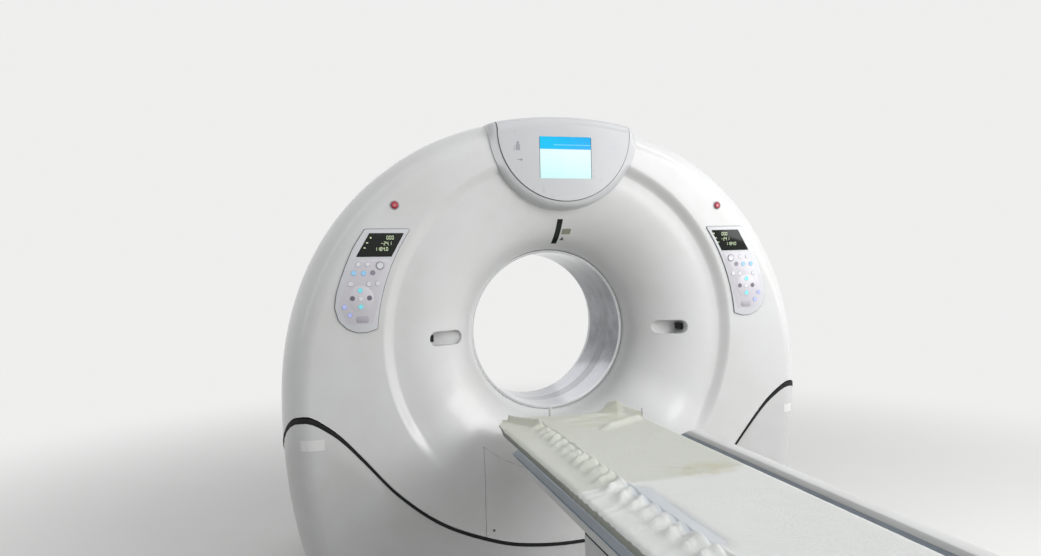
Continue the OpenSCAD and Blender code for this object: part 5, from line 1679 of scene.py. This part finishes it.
label_film = Finish("label_film", (0.80, 0.80, 0.79), 0.3)
label_film.set("Roughness", label_film.cloud(0.01, 3) * 0.15 + 0.28)
olive_film = Finish("olive_film", (0.26, 0.26, 0.20), 0.35)
uneven = olive_film.cloud(0.006, 3)
olive_film.set("Base Color", olive_film.blend(uneven, (0.22, 0.22, 0.16), (0.33, 0.33, 0.26)))
pointer_film = Finish("pointer_film", (0.07, 0.07, 0.075), 0.35)
pointer_film.set("Roughness", pointer_film.cloud(0.004, 2) * 0.2 + 0.3)
laid_film("slit_film", 0, ISO + 0.449, 0.0250, 0.1040, front_shell, "gantry", display_glass)
laid_film("olive_label", 0.0395, 1.4880, 0.0400, 0.0230, front_shell, "gantry", olive_film)
laid_film("slit_pointer", 0.0300, 1.4560, 0.0220, 0.0200, front_shell, "gantry", pointer_film, 3)
laid_film("left_label", -1.0700, 0.6550, 0.0930, 0.0420, base_shell, "base", label_film)
laid_film("right_label", 1.0900, 0.6400, 0.0480, 0.0380, base_shell, "base", label_film)
laid_film("access_lock", -0.3500, 0.2340, 0.0110, 0.0110, front_shell, "gantry", pointer_film, 20)

# %% [markdown]
# ## Stage and light
# The light is bright and even. Most of it comes from the front on the right, and less from above,
# from strips along both sides and from behind. A wide soft lamp stands for each, because a sun or
# a point would draw a hard edge on the lacquer, and the world fills the rest.

# %% Place the lamps
def lamp(name, place, aim, size, power):
    """A soft rectangular lamp that is turned towards a point."""
    light = bpy.data.lights.new(name, "AREA")
    light.shape = "RECTANGLE"
    light.size, light.size_y = size
    light.energy = power
    holder = bpy.data.objects.new(name, light)
    bpy.context.scene.collection.objects.link(holder)
    holder.location = place
    holder.rotation_euler = (Vector(aim) - Vector(place)).to_track_quat("-Z", "Y").to_euler()


lamp("ceiling", (0.2, -2.0, 3.4), (0, -0.9, 0), (3.6, 3.4), 15)
lamp("right_strip", (3.0, -1.6, 3.0), (0.3, -0.4, 0.8), (0.5, 5.0), 30)
lamp("left_strip", (-2.8, -0.6, 3.0), (-0.4, -0.3, 1.2), (0.4, 4.0), 8)
lamp("front_right", (2.9, -3.6, 2.5), (0.05, -0.4, 1.0), (3.0, 2.4), 102)
lamp("behind", (0.2, 3.2, 2.6), (0, 0.4, 1.0), (3.0, 1.5), 6)

# %% [markdown]
# ## Floor and backdrop
# The floor is a matt grey for the light that it throws back, but the camera and the reflections
# see it paler, and it fades into the white backdrop a few metres out. A Light Path node tells the
# two apart. The world does the same: a plain grey lights the object, and a paler one is seen.

# %% Lay the floor
BACKDROP = (0.86, 0.86, 0.855)
bpy.ops.mesh.primitive_grid_add(x_subdivisions=2, y_subdivisions=2, size=24)
ground = named("ground")
ground_finish = Finish("ground_finish", (0.44, 0.44, 0.42), 0.55)
ground_finish.set("Roughness", ground_finish.cloud(0.3, 3) * 0.2 + 0.4)
by_camera = ground_finish.node("LightPath", output=0)
by_gloss = ground_finish.node("LightPath", output=3)
seen_straight = by_camera.maths("MAXIMUM", by_camera, by_gloss)
ground_finish.set("Base Color", ground_finish.blend(seen_straight, (0.44, 0.44, 0.42), (0.80, 0.80, 0.78)))
across, back = ground_finish.axis(0), ground_finish.axis(1)
reach = (across * across + back * back) ** 0.5
fade = reach.above(3.3, 1.8) * seen_straight
glow = ground_finish.node("Emission", None, {"Color": BACKDROP, "Strength": 1.0})
surface = ground_finish.node("MixShader", None, {0: fade, 2: glow})
ground_finish.tree.links.new(ground_finish.shader.outputs[0], surface.link.node.inputs[1])
ground_finish.tree.links.new(surface.link, ground_finish.tree.nodes["Material Output"].inputs[0])
ground.data.materials.append(ground_finish.material)

# %% Light the world
world = bpy.data.worlds.new("room")
world.use_nodes = True
bpy.context.scene.world = world
tree = world.node_tree
background = tree.nodes["Background"]
background.inputs["Color"].default_value = (0.62, 0.63, 0.64, 1)
background.inputs["Strength"].default_value = 0.74
seen = tree.nodes.new("ShaderNodeBackground")
seen.inputs["Color"].default_value = (*BACKDROP, 1)
seen.inputs["Strength"].default_value = 1.0
path = tree.nodes.new("ShaderNodeLightPath")
either = tree.nodes.new("ShaderNodeMath")
either.operation = "MAXIMUM"
tree.links.new(path.outputs["Is Camera Ray"], either.inputs[0])
tree.links.new(path.outputs["Is Glossy Ray"], either.inputs[1])
choose = tree.nodes.new("ShaderNodeMixShader")
tree.links.new(either.outputs[0], choose.inputs[0])
tree.links.new(background.outputs[0], choose.inputs[1])
tree.links.new(seen.outputs[0], choose.inputs[2])
tree.links.new(choose.outputs[0], tree.nodes["World Output"].inputs[0])

# %% [markdown]
# ## Finishes of the solids that stay
# The pieces that no new mesh replaces keep their exact solids and only need a finish. Most of them
# sit inside the covers and show when the gantry tilts.

# %% Dress the solids
worn_by = {
    cover_white: ["laser_housings", "access_panel"],
    shaded_base_white: ["floor_duct"],
    couch_white: ["couch_frame", "tabletop", "head_posts", "couch_plinth"],
    frame_paint: ["base_frame", "tilt_frame"],
    stand_paint: ["left_stand", "right_stand", "collimator", "counterweights"],
    motor_paint: ["tilt_motor", "lift_motor", "slide_motor", "high_voltage_generator", "xray_tube",
                  "detector_arc", "brush_block", "levelling_feet"],
    display_glass: ["laser_windows", "top_laser_window"],
    column_metal: ["lift_column_outer", "lift_column_middle", "lift_column_inner"],
    bearing_steel: ["bearing_outer_race", "bearing_inner_race", "tilt_bearings"],
    drum_metal: ["rotor_drum"],
    slip_brass: ["slip_ring"],
    winding_copper: ["stator_ring"],
    trim_bright: ["bore_trims"],
    bore_film: ["bore_liner"],
}
for finish, nodes in worn_by.items():
    for node in nodes:
        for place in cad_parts[node].material_slots:
            place.material = finish.material
print("solids that keep their shape:", sum(len(nodes) for nodes in worn_by.values()))
